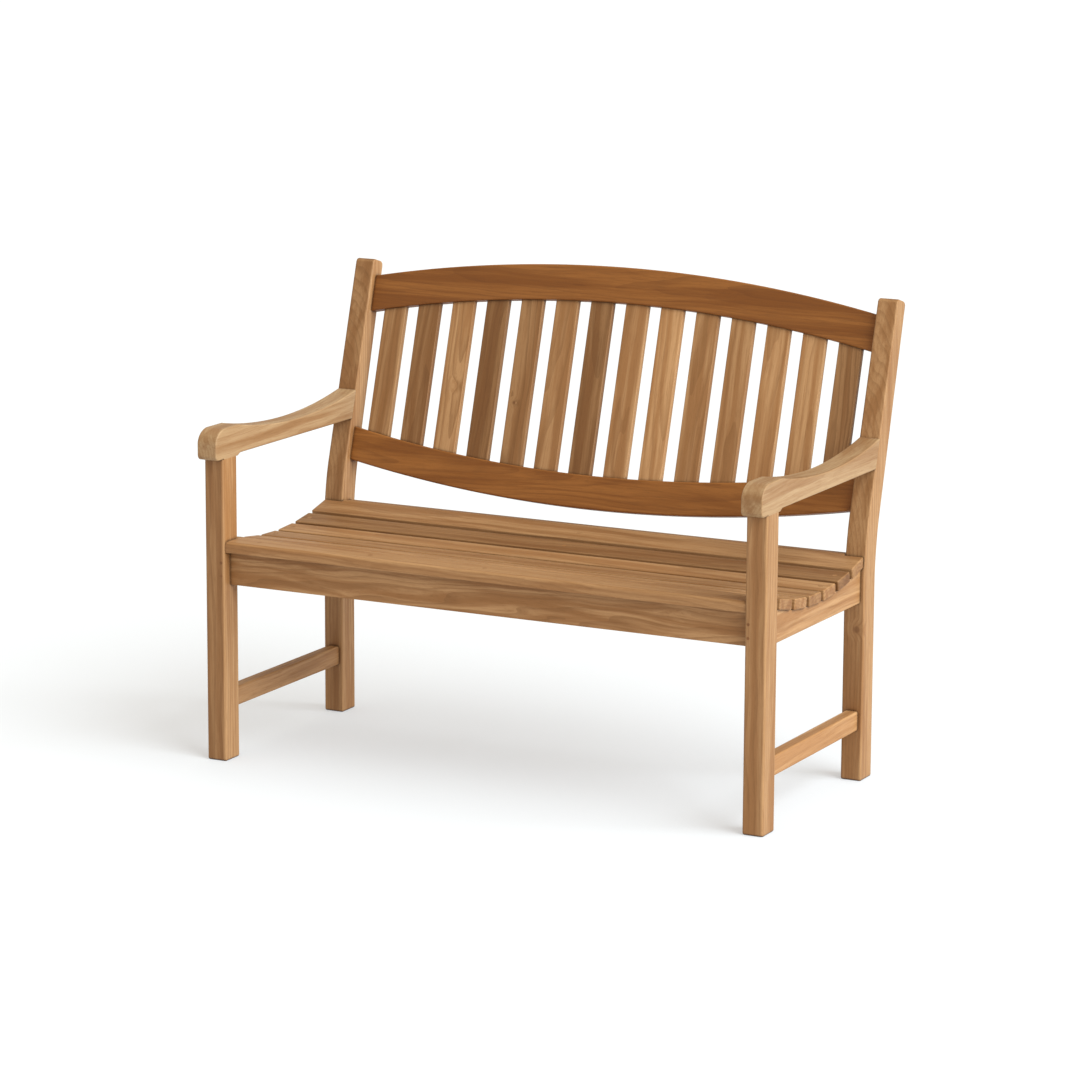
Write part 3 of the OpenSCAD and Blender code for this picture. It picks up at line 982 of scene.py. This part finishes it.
@dataclass
class Arms:
    """The two arms, swept down behind a rounded nose and up to the rear legs."""

    layout: Layout
    underside: float = 607 * MM
    front_height: float = 56 * MM
    dip_height: float = 34 * MM
    dip_reach: float = 285 * MM
    sweep: float = 1150 * MM
    pad_past: float = 6 * MM
    pad_slope: float = 8 * MM
    nose_top: float = -4 * MM
    nose_drop: float = 18 * MM
    nose_top_round: float = 13 * MM
    nose_front_round: float = 11 * MM
    nose_under_round: float = 10 * MM
    arris: float = 5 * MM
    sweep_steps: int = 28
    most_rise: float = 0.5
    halvings: int = 40

    def build(self) -> None:
        """Makes the arms."""
        finish = TeakFinish(
            "arm_teak", pale="#a0825d", brown="#896540", end="#f2eee8", ring_strength=0.24
        )
        self.arm(Side.LEFT, Board(Grain.FRONT_TO_BACK, seed=21, tone=0.72, pith=60 * MM), finish)
        self.arm(Side.RIGHT, Board(Grain.FRONT_TO_BACK, seed=22, tone=0.66, pith=70 * MM), finish)

    def arm(self, side: Side, board: Board, finish: TeakFinish) -> None:
        """Makes an arm.

        Args:
            side: Which arm.
            board: How it was cut.
            finish: Its finish.
        """
        node = f"arm_{side.word}"
        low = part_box(node)[0]
        lay = self.layout
        top = self.underside + self.front_height
        centre = (lay.front + self.dip_reach, self.underside + self.dip_height + self.sweep)
        fall = math.acos((centre[1] - top) / self.sweep)
        rise = self.rise_angle(centre)
        bm = bmesh.new()
        edge_x = low.x if side is Side.RIGHT else -lay.half_width
        first = bm.verts.new((edge_x, centre[0] - self.sweep * math.sin(fall), top))
        sweep = [first]
        turn = Matrix.Rotation((fall + rise) / self.sweep_steps, 3, "X")
        for _ in range(self.sweep_steps):
            grown = bmesh.ops.extrude_vert_indiv(bm, verts=[sweep[-1]])["verts"]
            bmesh.ops.rotate(bm, cent=(edge_x, *centre), matrix=turn, verts=grown)
            sweep += grown
        nose = low.y
        pad_end = lay.front + lay.leg_depth + self.pad_past
        corners = [
            (nose, low.z),
            (nose, top - self.nose_drop),
            (lay.front + self.nose_top, top),
        ]
        heel = [
            (lay.raked_front(self.underside), self.underside),
            (pad_end + self.pad_slope, self.underside),
            (pad_end, low.z),
            (lay.front + lay.leg_depth, low.z),
            (lay.front + self.arris, low.z),
            (lay.front, low.z),
        ]
        fore = [bm.verts.new((edge_x, y, z)) for y, z in corners]
        aft = [bm.verts.new((edge_x, y, z)) for y, z in heel]
        bm.faces.new(fore + sweep + aft)
        rounds = (self.nose_under_round, self.nose_front_round, self.nose_top_round)
        for corner, reach in zip(fore, rounds):
            ease_corner(bm, corner, reach, 6)
        thicken(bm, lay.leg_width)
        arrises = [e for e in sharp_edges(bm) if not self.against_leg(e)]
        ease(bm, arrises, self.arris, 5)
        finish_piece(bm, f"{node}_board", board, finish, "arm_teak", node)

    def rise_angle(self, centre: tuple[float, float]) -> float:
        """Finds where the sweep meets the leaning leg.

        Args:
            centre: The sweep's centre as (Y, Z).

        Returns:
            The angle past the dip, in radians.
        """
        low, high = 0.0, self.most_rise
        for _ in range(self.halvings):
            middle = (low + high) / 2
            z = centre[1] - self.sweep * math.cos(middle)
            if centre[0] + self.sweep * math.sin(middle) < self.layout.raked_front(z):
                low = middle
            else:
                high = middle
        return low

    def against_leg(self, edge: bmesh.types.BMEdge) -> bool:
        """Tells the arrises of the joints with the two legs, which stay crisp, from the others.

        Args:
            edge: An arris of the arm.

        Returns:
            True for an arris of a joint.
        """
        lay = self.layout
        rear = all(abs(v.co.y - lay.raked_front(v.co.z)) < CLOSE for v in edge.verts)
        pad = all(v.co.z < self.underside - CLOSE and v.co.y > lay.front - CLOSE for v in edge.verts)
        return rear or pad


@dataclass
class Back:
    """The oval back: an arched crest rail, a sagging lower rail and the upright slats."""

    layout: Layout
    setback: float = 15 * MM
    rail_thickness: float = 25 * MM
    crest_depth: float = 72 * MM
    crest_end: float = 453 * MM
    crest_rise: float = 55 * MM
    low_depth: float = 67 * MM
    low_bottom: float = 72 * MM
    low_sag: float = 51 * MM
    slat_width: float = 50 * MM
    slat_thickness: float = 13 * MM
    slat_housing: float = 14 * MM
    rail_ease: float = 3.5 * MM
    slat_ease: float = 2.5 * MM
    overrun: float = 30 * MM
    steps: int = 48
    slat_tones: tuple[float, ...] = (
        0.42, 0.23, 0.70, 0.10, 0.37, 0.58, 0.17, 0.68, 0.92, 0.60, 0.62, 0.80, 0.82, 0.34,
    )
    knotty_slats: tuple[int, ...] = (2, 4, 13)
    knots: tuple[Knot, ...] = (
        Knot((-0.345, 0.228, 0.690), 26 * MM, 0.25),
        Knot((-0.204, 0.228, 0.665), 16 * MM, 0.75),
        Knot((-0.195, 0.180, 0.585), 14 * MM, 0.7),
        Knot((0.520, 0.215, 0.680), 24 * MM, 0.5),
    )

    def build(self) -> None:
        """Makes the back."""
        half = self.layout.inner
        crest_radius = (half**2 + self.crest_rise**2) / (2 * self.crest_rise)
        crest_centre = self.crest_end + self.crest_rise - crest_radius
        low_radius = (half**2 + self.low_sag**2) / (2 * self.low_sag)
        low_centre = self.low_bottom - self.low_sag + low_radius
        finish = TeakFinish("back_rail_teak", pale="#a66d33", brown="#8a5420", ring="#76451a")
        crest = Board(Grain.ACROSS_THE_RAKE, seed=31, tone=0.20, pith=60 * MM, drift=30 * MM)
        low = Board(Grain.ACROSS_THE_RAKE, seed=32, tone=0.30, pith=55 * MM, drift=30 * MM)
        self.rail("crest_rail", crest_centre, crest_radius - self.crest_depth, crest_radius, crest, finish)
        self.rail("lower_back_rail", low_centre, -low_radius, self.low_depth - low_radius, low, finish)
        plain = TeakFinish("back_slat_teak")
        knotty = TeakFinish("knotty_back_slat_teak", ring_strength=0.5, wander=34 * MM, knots=self.knots)
        count = len(self.slat_tones)
        gap = (2 * half - count * self.slat_width) / (count + 1)
        for index, tone in enumerate(self.slat_tones):
            middle = -half + gap + self.slat_width / 2 + index * (self.slat_width + gap)
            under_crest = crest_centre + math.sqrt((crest_radius - self.crest_depth) ** 2 - middle**2)
            over_low = low_centre - math.sqrt((low_radius - self.low_depth) ** 2 - middle**2)
            board = Board(Grain.UP_THE_RAKE, seed=40 + index, tone=tone, pith=50 * MM, drift=25 * MM)
            slat_finish = knotty if index in self.knotty_slats else plain
            self.slat(index + 1, middle, over_low, under_crest, board, slat_finish)

    def rail(
        self, node: str, centre: float, inside: float, outside: float, board: Board, finish: TeakFinish
    ) -> None:
        """Makes a curved rail by turning its section round the centre of its curve.

        Args:
            node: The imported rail.
            centre: Height of the curve's centre along the rake.
            inside: Signed height of the section's lower edge above the centre.
            outside: Signed height of its upper edge.
            board: How it was cut.
            finish: Its finish.
        """
        half = self.layout.inner
        reach = math.asin((half + self.overrun) / min(abs(inside), abs(outside)))
        bm = sawn(
            Vector((-CLOSE, self.setback, centre + inside)),
            Vector((0, self.setback + self.rail_thickness, centre + outside)),
        )
        beside_section = [f for f in bm.faces if f.normal.x < 0.5]
        bmesh.ops.delete(bm, geom=beside_section, context="FACES")
        bmesh.ops.rotate(
            bm, cent=(0, 0, centre), matrix=Matrix.Rotation(-reach, 3, "Y"), verts=bm.verts
        )
        bmesh.ops.spin(
            bm,
            geom=everything(bm),
            cent=(0, 0, centre),
            axis=(0, 1, 0),
            angle=2 * reach,
            steps=self.steps,
            use_merge=False,
        )
        for side in Side:
            saw_off(bm, (side.value * half, 0, 0), (side.value, 0, 0))
        bmesh.ops.recalc_face_normals(bm, faces=bm.faces)
        ease(bm, sharp_edges(bm, butt=half), self.rail_ease)
        self.layout.lean(bm)
        finish_piece(bm, f"{node}_board", board, finish, "back_rail_teak", node)

    def slat(
        self, number: int, x: float, low: float, high: float, board: Board, finish: TeakFinish
    ) -> None:
        """Makes a back slat, let into both rails.

        Args:
            number: Its number from the left.
            x: Its middle across the bench.
            low: Height of the lower rail's top edge there, along the rake.
            high: Height of the crest rail's bottom edge there.
            board: How it was cut.
            finish: Its finish.
        """
        depth = self.setback + (self.rail_thickness - self.slat_thickness) / 2
        bm = sawn(
            Vector((x - self.slat_width / 2, depth, low - self.slat_housing)),
            Vector((x + self.slat_width / 2, depth + self.slat_thickness, high + self.slat_housing)),
        )
        ease(bm, sharp_edges(bm), self.slat_ease)
        self.layout.lean(bm)
        node = f"back_slat_{number}"
        finish_piece(bm, f"{node}_board", board, finish, "back_slat_teak", node)


@dataclass
class Seat:
    """The seat: a front slat, the dished slats behind it and the wooden plugs over their screws."""

    layout: Layout
    back_edge: float = field(init=False)
    pitch: float = field(init=False)
    lowest: float = field(init=False)
    dip_reach: float = 250 * MM
    radius: float = 720 * MM
    gap: float = 12 * MM
    thickness: float = 21 * MM
    arris: float = 3 * MM
    nosing: float = 7 * MM
    front_past: float = 7 * MM
    last_reach: float = 8 * MM
    leg_clearance: float = 0.2 * MM
    plug_radius: float = 5 * MM
    plug_depth: float = 6 * MM
    plug_proud: float = 0.15 * MM
    front_screws: int = 5
    front_screw_margin: float = 60 * MM
    front_tone: float = 0.55
    # The fifth slat's tone of 0.16 is painted shade: that slat is darkened because it lies in shade
    slat_tones: tuple[float, ...] = (0.50, 0.64, 0.42, 0.64, 0.16, 0.48)

    def __post_init__(self) -> None:
        """Works out the seat's curve."""
        lay = self.layout
        self.back_edge = lay.leg_depth + self.front_past
        self.pitch = (lay.leg_reach - self.back_edge) / len(self.slat_tones)
        rise = self.radius - math.sqrt(self.radius**2 - (self.dip_reach - self.back_edge) ** 2)
        self.lowest = lay.seat_height - rise

    def height(self, reach: float) -> float:
        """Height of the seat at a distance behind the front of the legs."""
        return self.lowest + self.radius - math.sqrt(self.radius**2 - (reach - self.dip_reach) ** 2)

    def slat_line(self, index: int) -> tuple[Vector, Vector]:
        """Front and back top edges of a dished slat.

        Args:
            index: The slat, counted from 0 at the front.

        Returns:
            Two points on the middle line of the bench.
        """
        ends = []
        start = self.back_edge + self.gap + index * self.pitch
        for reach in (start, start + self.pitch - self.gap):
            ends.append(Vector((0, self.layout.front + reach, self.height(reach))))
        return ends[0], ends[1]

    def build(self) -> None:
        """Makes the seat."""
        finish = TeakFinish("seat_slat_teak")
        self.front_slat(finish)
        for index, tone in enumerate(self.slat_tones):
            board = Board(Grain.ALONG_BENCH, seed=60 + index, tone=tone, pith=60 * MM, drift=20 * MM)
            self.slat(index, board, finish)
        self.plugs(finish)

    def front_slat(self, finish: TeakFinish) -> None:
        """Makes the front slat, which fits between the front legs.

        Args:
            finish: Its finish.
        """
        low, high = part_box("front_seat_slat")
        bm = sawn(low, high)
        nosing = [
            e
            for e in bm.edges
            if all(v.co.y < low.y + CLOSE and v.co.z > high.z - CLOSE for v in e.verts)
        ]
        ease(bm, nosing, self.nosing, 6)
        ease(bm, sharp_edges(bm, butt=high.x), self.arris)
        board = Board(Grain.ALONG_BENCH, seed=59, tone=self.front_tone, pith=45 * MM, drift=35 * MM)
        finish_piece(bm, "front_seat_slat_board", board, finish, "seat_slat_teak", "front_seat_slat")

    def slat(self, index: int, board: Board, finish: TeakFinish) -> None:
        """Makes a dished slat. The last one reaches between the rear legs.

        Args:
            index: The slat, counted from 0 at the front.
            board: How it was cut.
            finish: Its finish.
        """
        node = f"seat_slat_{index + 1}"
        low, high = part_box(node)
        lay = self.layout
        front, back = self.slat_line(index)
        run = (back - front).normalized()
        width = (back - front).length
        last = index == len(self.slat_tones) - 1
        extra = self.last_reach / run.y + self.thickness if last else 0.0
        bm = sawn(Vector((low.x, 0, -self.thickness)), Vector((high.x, width + extra, 0)))
        tilt = math.atan2(run.z, run.y)
        bmesh.ops.rotate(bm, cent=(0, 0, 0), matrix=Matrix.Rotation(tilt, 3, "X"), verts=bm.verts)
        bmesh.ops.translate(bm, vec=front, verts=bm.verts)
        if last:
            saw_off(bm, (0, lay.rear_face + self.last_reach, 0), (0, 1, 0))
            self.notch(bm)
        ease(bm, sharp_edges(bm), self.arris)
        finish_piece(bm, f"{node}_board", board, finish, "seat_slat_teak", node)

    def notch(self, bm: bmesh.types.BMesh) -> None:
        """Notches the last slat round the rear legs.

        Args:
            bm: The slat.
        """
        lay = self.layout
        clear = lay.inner - self.leg_clearance
        planes = (((0, lay.rear_face, 0), (0, 1, 0)), ((-clear, 0, 0), ACROSS), ((clear, 0, 0), ACROSS))
        for place, normal in planes:
            bmesh.ops.bisect_plane(bm, geom=everything(bm), plane_co=place, plane_no=normal)
        middles = {f: f.calc_center_median() for f in bm.faces}
        beside_leg = [f for f, m in middles.items() if m.y > lay.rear_face and abs(m.x) > clear]
        bmesh.ops.delete(bm, geom=beside_leg, context="FACES")
        rim = [e for e in bm.edges if e.is_boundary]
        for side in Side:
            here = [e for e in rim if e.is_valid and side.value * e.verts[0].co.x > 0]
            self.close_notch(bm, here)
        flat = [e for e in bm.edges if len(e.link_faces) == 2 and e.calc_face_angle() < FLAT_ANGLE]
        bmesh.ops.dissolve_edges(bm, edges=flat, use_verts=True)
        bmesh.ops.recalc_face_normals(bm, faces=bm.faces)

    def close_notch(self, bm: bmesh.types.BMesh, rim: list[bmesh.types.BMEdge]) -> None:
        """Closes the two sawn faces of one notch.

        Args:
            bm: The slat.
            rim: The open edges round the notch.
        """
        lay = self.layout
        verts = dict.fromkeys(v for e in rim for v in e.verts)
        inner = [v for v in verts if abs(abs(v.co.x) - lay.inner) < CLOSE]
        corner = [v for v in inner if abs(v.co.y - lay.rear_face) < EXACT]
        if not bm.edges.get(corner):
            bm.edges.new(corner)
        bmesh.ops.holes_fill(bm, edges=[e for e in bm.edges if e.is_boundary or e.is_wire], sides=4)

    def plugs(self, finish: TeakFinish) -> None:
        """Makes the plugs over the screws, cut across the grain and sanded nearly flush.

        Args:
            finish: Their finish.
        """
        lay = self.layout
        low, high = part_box("side_seat_rail_right")
        rail = (low.x + high.x) / 2
        bm = bmesh.new()
        for index in range(len(self.slat_tones)):
            front, back = self.slat_line(index)
            for x in (-rail, 0.0, rail):
                middle = (front + back) / 2 + Vector((x, 0, 0))
                self.plug(bm, middle, math.atan2(back.z - front.z, back.y - front.y))
        reach = lay.inner - self.front_screw_margin
        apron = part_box("front_seat_rail")
        for number in range(self.front_screws):
            x = -reach + 2 * reach * number / (self.front_screws - 1)
            place = Vector((x, (apron[0].y + apron[1].y) / 2, lay.seat_height))
            self.plug(bm, place, 0.0)
        board = Board(Grain.ALONG_BENCH, seed=80, tone=0.50)
        finish_piece(bm, "seat_plug_discs", board, finish, "seat_slat_teak", "seat_plugs")

    def plug(self, bm: bmesh.types.BMesh, top: Vector, tilt: float) -> None:
        """Adds one plug.

        Args:
            bm: The plugs' mesh.
            top: Middle of its top, on the slat's face.
            tilt: The slat's slope, in radians.
        """
        made = bmesh.ops.create_cone(
            bm,
            cap_ends=True,
            segments=24,
            radius1=self.plug_radius,
            radius2=self.plug_radius,
            depth=self.plug_depth + self.plug_proud,
        )["verts"]
        middle = (self.plug_proud - self.plug_depth) / 2
        bmesh.ops.translate(bm, vec=(0, 0, middle), verts=made)
        bmesh.ops.rotate(bm, cent=(0, 0, 0), matrix=Matrix.Rotation(tilt, 3, "X"), verts=made)
        bmesh.ops.translate(bm, vec=top, verts=made)


@dataclass
class Rails:
    """The rails under the seat and the stretchers near the floor."""

    layout: Layout
    seat: Seat
    underside: float = 352 * MM
    arris: float = 3 * MM
    stretcher_arris: float = 4 * MM

    def build(self) -> None:
        """Makes the rails and stretchers."""
        apron = TeakFinish(
            "apron_teak", brown="#885d33", ring_strength=0.45, ring_pitch=8 * MM, wander=60 * MM
        )
        plain = TeakFinish("rail_teak")
        pale = TeakFinish("stretcher_teak", ring_strength=0.25)
        flat = Board(Grain.ALONG_BENCH_ON_EDGE, seed=97, tone=0.60, pith=48 * MM, drift=45 * MM)
        self.cross_rail("front_seat_rail", flat, apron)
        rear = Board(Grain.ALONG_BENCH_ON_EDGE, seed=92, tone=0.46, pith=60 * MM)
        self.cross_rail("rear_seat_rail", rear, plain)
        for side, tone in ((Side.LEFT, 0.55), (Side.RIGHT, 0.66)):
            board = Board(Grain.FRONT_TO_BACK, seed=93 + side.value, tone=tone, pith=55 * MM)
            self.under_slats(f"side_seat_rail_{side.word}", board, plain)
        middle = Board(Grain.FRONT_TO_BACK, seed=96, tone=0.5)
        self.under_slats("centre_seat_bearer", middle, plain)
        for side, tone in ((Side.LEFT, 0.50), (Side.RIGHT, 0.88)):
            board = Board(Grain.FRONT_TO_BACK, seed=98 + side.value, tone=tone, pith=65 * MM)
            self.stretcher(f"side_stretcher_{side.word}", board, pale)

    def cross_rail(self, node: str, board: Board, finish: TeakFinish) -> None:
        """Makes a straight rail across the bench, between the legs.

        Args:
            node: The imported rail.
            board: How it was cut.
            finish: Its finish.
        """
        low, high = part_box(node)
        half = self.layout.inner
        bm = sawn(Vector((-half, low.y, low.z)), Vector((half, high.y, high.z)))
        ease(bm, sharp_edges(bm, butt=half), self.arris)
        finish_piece(bm, f"{node}_board", board, finish, "frame_teak", node)

    def under_slats(self, node: str, board: Board, finish: TeakFinish) -> None:
        """Makes a rail whose top edge follows the undersides of the slats.

        Args:
            node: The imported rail.
            board: How it was cut.
            finish: Its finish.
        """
        low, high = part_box(node)
        lay, seat = self.layout, self.seat
        sides = node.startswith("side")
        start = lay.front + lay.leg_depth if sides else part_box("front_seat_rail")[1].y
        stop = lay.rear_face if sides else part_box("rear_seat_rail")[0].y
        flat = lay.seat_height - seat.thickness
        points = [(start, self.underside), (start, flat), (lay.front + seat.back_edge, flat)]
        last = len(seat.slat_tones) - 1
        for index in range(last + 1):
            front, back = seat.slat_line(index)
            run = (back - front).normalized()
            down = Vector((0, run.z, -run.y)) * seat.thickness
            under_front, under_back = front + down, back + down
            if index == last:
                rise = (stop - under_front.y) * run.z / run.y
                under_back = Vector((0, stop, under_front.z + rise))
            points += [(under_front.y, under_front.z), (under_back.y, under_back.z)]
        points.append((stop, self.underside))
        bm, _ = profile(points, low.x)
        thicken(bm, high.x - low.x)
        lower = [e for e in sharp_edges(bm) if all(v.co.z < self.underside + CLOSE for v in e.verts)]
        along = [e for e in lower if abs((e.verts[0].co - e.verts[1].co).y) > CLOSE]
        ease(bm, along, self.arris)
        finish_piece(bm, f"{node}_board", board, finish, "frame_teak", node)

    def stretcher(self, node: str, board: Board, finish: TeakFinish) -> None:
        """Makes a stretcher between a front leg and a rear leg.

        Args:
            node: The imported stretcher.
            board: How it was cut.
            finish: Its finish.
        """
        low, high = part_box(node)
        lay = self.layout
        bm = sawn(
            Vector((low.x, lay.front + lay.leg_depth, low.z)), Vector((high.x, lay.rear_face, high.z))
        )
        along = [e for e in bm.edges if abs((e.verts[0].co - e.verts[1].co).y) > CLOSE]
        ease(bm, along, self.stretcher_arris)
        finish_piece(bm, f"{node}_board", board, finish, "frame_teak", node)


@dataclass
class Pegs:
    """The turned pegs that lock the mortise and tenon joints."""

    layout: Layout
    radius: float = 3 * MM
    proud: float = 0.25 * MM
    rim: float = 0.4 * MM

    def build(self) -> None:
        """Makes the pegs, in the groups that the joints have."""
        finish = TeakFinish("peg_teak", pale="#94663c", brown="#7c5230", ring="#643f24")
        for number, node in enumerate(("front_rail_pegs", "rear_rail_pegs", "back_rail_pegs")):
            bm = bmesh.new()
            for centre, axis, length in self.places(node):
                self.peg(bm, centre, axis, length)
            board = Board(Grain.FRONT_TO_BACK, seed=110 + number, tone=0.45)
            finish_piece(bm, f"{node}_turned", board, finish, "peg_teak", node)

    def places(self, node: str) -> list[tuple[Vector, Vector, float]]:
        """Reads where each packed peg lies.

        Args:
            node: The group of pegs.

        Returns:
            For each peg its middle, its direction and its length.
        """
        source = bmesh.new()
        source.from_mesh(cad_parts[node].data)
        bmesh.ops.remove_doubles(source, verts=source.verts, dist=EXACT)
        axis = INTO_RAKE if node.startswith("back") else Vector((0, 1, 0))
        found = []
        left = dict.fromkeys(source.verts)
        while left:
            peg = [left.popitem()[0]]
            for vert in peg:
                others = (e.other_vert(vert) for e in vert.link_edges)
                fresh = [other for other in others if other in left]
                for other in fresh:
                    del left[other]
                peg += fresh
            runs = [v.co.dot(axis) for v in peg]
            middle = sum((v.co for v in peg), Vector()) / len(peg)
            middle += axis * ((min(runs) + max(runs)) / 2 - middle.dot(axis))
            found.append((middle, axis, max(runs) - min(runs)))
        source.free()
        return found

    def peg(self, bm: bmesh.types.BMesh, centre: Vector, axis: Vector, length: float) -> None:
        """Adds one peg with a softened rim.

        Args:
            bm: The pegs' mesh.
            centre: Its middle.
            axis: Its direction.
            length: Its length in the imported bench.
        """
        made = bmesh.ops.create_cone(
            bm,
            cap_ends=True,
            segments=20,
            radius1=self.radius,
            radius2=self.radius,
            depth=length + 2 * self.proud,
        )["verts"]
        rims = [e for e in bm.edges if e.verts[0] in made and e.calc_face_angle(0) > ARRIS_ANGLE]
        eased = bmesh.ops.bevel(
            bm,
            geom=rims,
            offset=self.rim,
            affect="EDGES",
            segments=2,
            profile=0.5,
            material=-1,
        )["verts"]
        whole = list({v for v in [*made, *eased] if v.is_valid})
        turn = Vector((0, 0, 1)).rotation_difference(axis).to_matrix()
        bmesh.ops.rotate(bm, cent=(0, 0, 0), matrix=turn, verts=whole)
        bmesh.ops.translate(bm, vec=centre, verts=whole)


@dataclass
class Studio:
    """A pale floor, soft light from the right and above, and the camera."""

    target: Point = (0.0, -0.046, 0.453)
    azimuth: float = 27.46
    elevation: float = 11.65
    roll: float = 0.27
    distance: float = 8.105
    lens: float = 139.5
    sensor: float = 36.0
    sight: float = 1000.0
    floor_size: float = 400.0
    floor_grey: str = "#aaaaaa"
    floor_glow: float = 0.45
    glow_colour: str = "#f9fcff"
    floor_roughness: float = 0.9
    floor_shine: float = 0.1
    sky: float = 0.78
    sky_colour: str = "#fff5e4"
    sun: float = 5.2
    sun_colour: str = "#eaf6ff"
    sun_spread: float = 55.0
    sun_from: Point = (0.80, -0.12, 0.56)
    box_place: Point = (3.2, -3.2, 1.1)
    box_size: float = 1.6
    box_power: float = 20.0

    def build(self) -> None:
        """Sets up the floor, the light and the camera."""
        self.floor()
        self.light()
        self.camera()
        bpy.context.scene.view_settings.view_transform = "Standard"

    def floor(self) -> None:
        """Makes the pale floor, lit a little from below."""
        bm = bmesh.new()
        bmesh.ops.create_grid(bm, x_segments=1, y_segments=1, size=self.floor_size / 2)
        mesh = bpy.data.meshes.new("studio_floor")
        bm.to_mesh(mesh)
        bm.free()
        paint = bpy.data.materials.new("white_floor")
        paint.use_nodes = True
        # Matt white board over a light table, so that shadows on it stay pale
        for name, value in (
            ("Base Color", to_linear(self.floor_grey)),
            ("Roughness", self.floor_roughness),
            ("Emission Color", to_linear(self.glow_colour)),
            ("Emission Strength", self.floor_glow),
            ("Specular IOR Level", self.floor_shine),
        ):
            paint.node_tree.nodes["Principled BSDF"].inputs[name].default_value = value
        mesh.materials.append(paint)
        floor = bpy.data.objects.new("studio_floor", mesh)
        bpy.context.scene.collection.objects.link(floor)

    def light(self) -> None:
        """Sets a white sky, a broad soft sun from the right and a soft box near the right front leg."""
        world = bpy.data.worlds.new("white_studio")
        world.use_nodes = True
        sky = world.node_tree.nodes["Background"]
        sky.inputs["Color"].default_value = to_linear(self.sky_colour)
        sky.inputs["Strength"].default_value = self.sky
        bpy.context.scene.world = world
        lamp = bpy.data.lights.new("soft_sun", "SUN")
        lamp.energy = self.sun
        lamp.color = to_linear(self.sun_colour)[:3]
        lamp.angle = math.radians(self.sun_spread)
        sun = bpy.data.objects.new("soft_sun", lamp)
        sun.rotation_euler = Vector(self.sun_from).to_track_quat("Z", "Y").to_euler()
        bpy.context.scene.collection.objects.link(sun)
        lamp = bpy.data.lights.new("soft_box", "AREA")
        lamp.size = self.box_size
        lamp.energy = self.box_power
        box = bpy.data.objects.new("soft_box", lamp)
        box.location = self.box_place
        away = Vector(self.box_place) - Vector(self.target)
        box.rotation_euler = away.to_track_quat("Z", "Y").to_euler()
        bpy.context.scene.collection.objects.link(box)

    def camera(self) -> None:
        """Sets the camera to the front right, a little above the seat's height."""
        turn = (
            Matrix.Rotation(math.radians(self.azimuth), 3, "Z")
            @ Matrix.Rotation(math.radians(90 - self.elevation), 3, "X")
            @ Matrix.Rotation(math.radians(self.roll), 3, "Z")
        )
        lens = bpy.data.cameras.new("camera")
        lens.lens = self.lens
        lens.sensor_width = self.sensor
        lens.clip_end = self.sight
        camera = bpy.data.objects.new("camera", lens)
        camera.matrix_world = Matrix.Translation(
            Vector(self.target) + turn @ Vector((0, 0, self.distance))
        ) @ turn.to_4x4()
        bpy.context.scene.collection.objects.link(camera)
        bpy.context.scene.camera = camera


def corners(box: tuple[Vector, Vector]) -> list[list[float]]:
    """A box's two corners as plain lists."""
    return [list(box[0]), list(box[1])]


def main() -> None:
    """Builds the bench, its finishes and the studio."""
    logging.basicConfig(level=logging.INFO, format="%(message)s")
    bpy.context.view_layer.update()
    layout = Layout()
    seat = Seat(layout)
    for assembly in (Legs(layout), Arms(layout), Back(layout), seat, Rails(layout, seat), Pegs(layout)):
        assembly.build()
    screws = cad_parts["seat_screws"]
    screws.data.materials.clear()
    screws.data.materials.append(SteelFinish().material())
    Studio().build()
    bpy.context.view_layer.update()


if __name__ == "__main__":
    main()
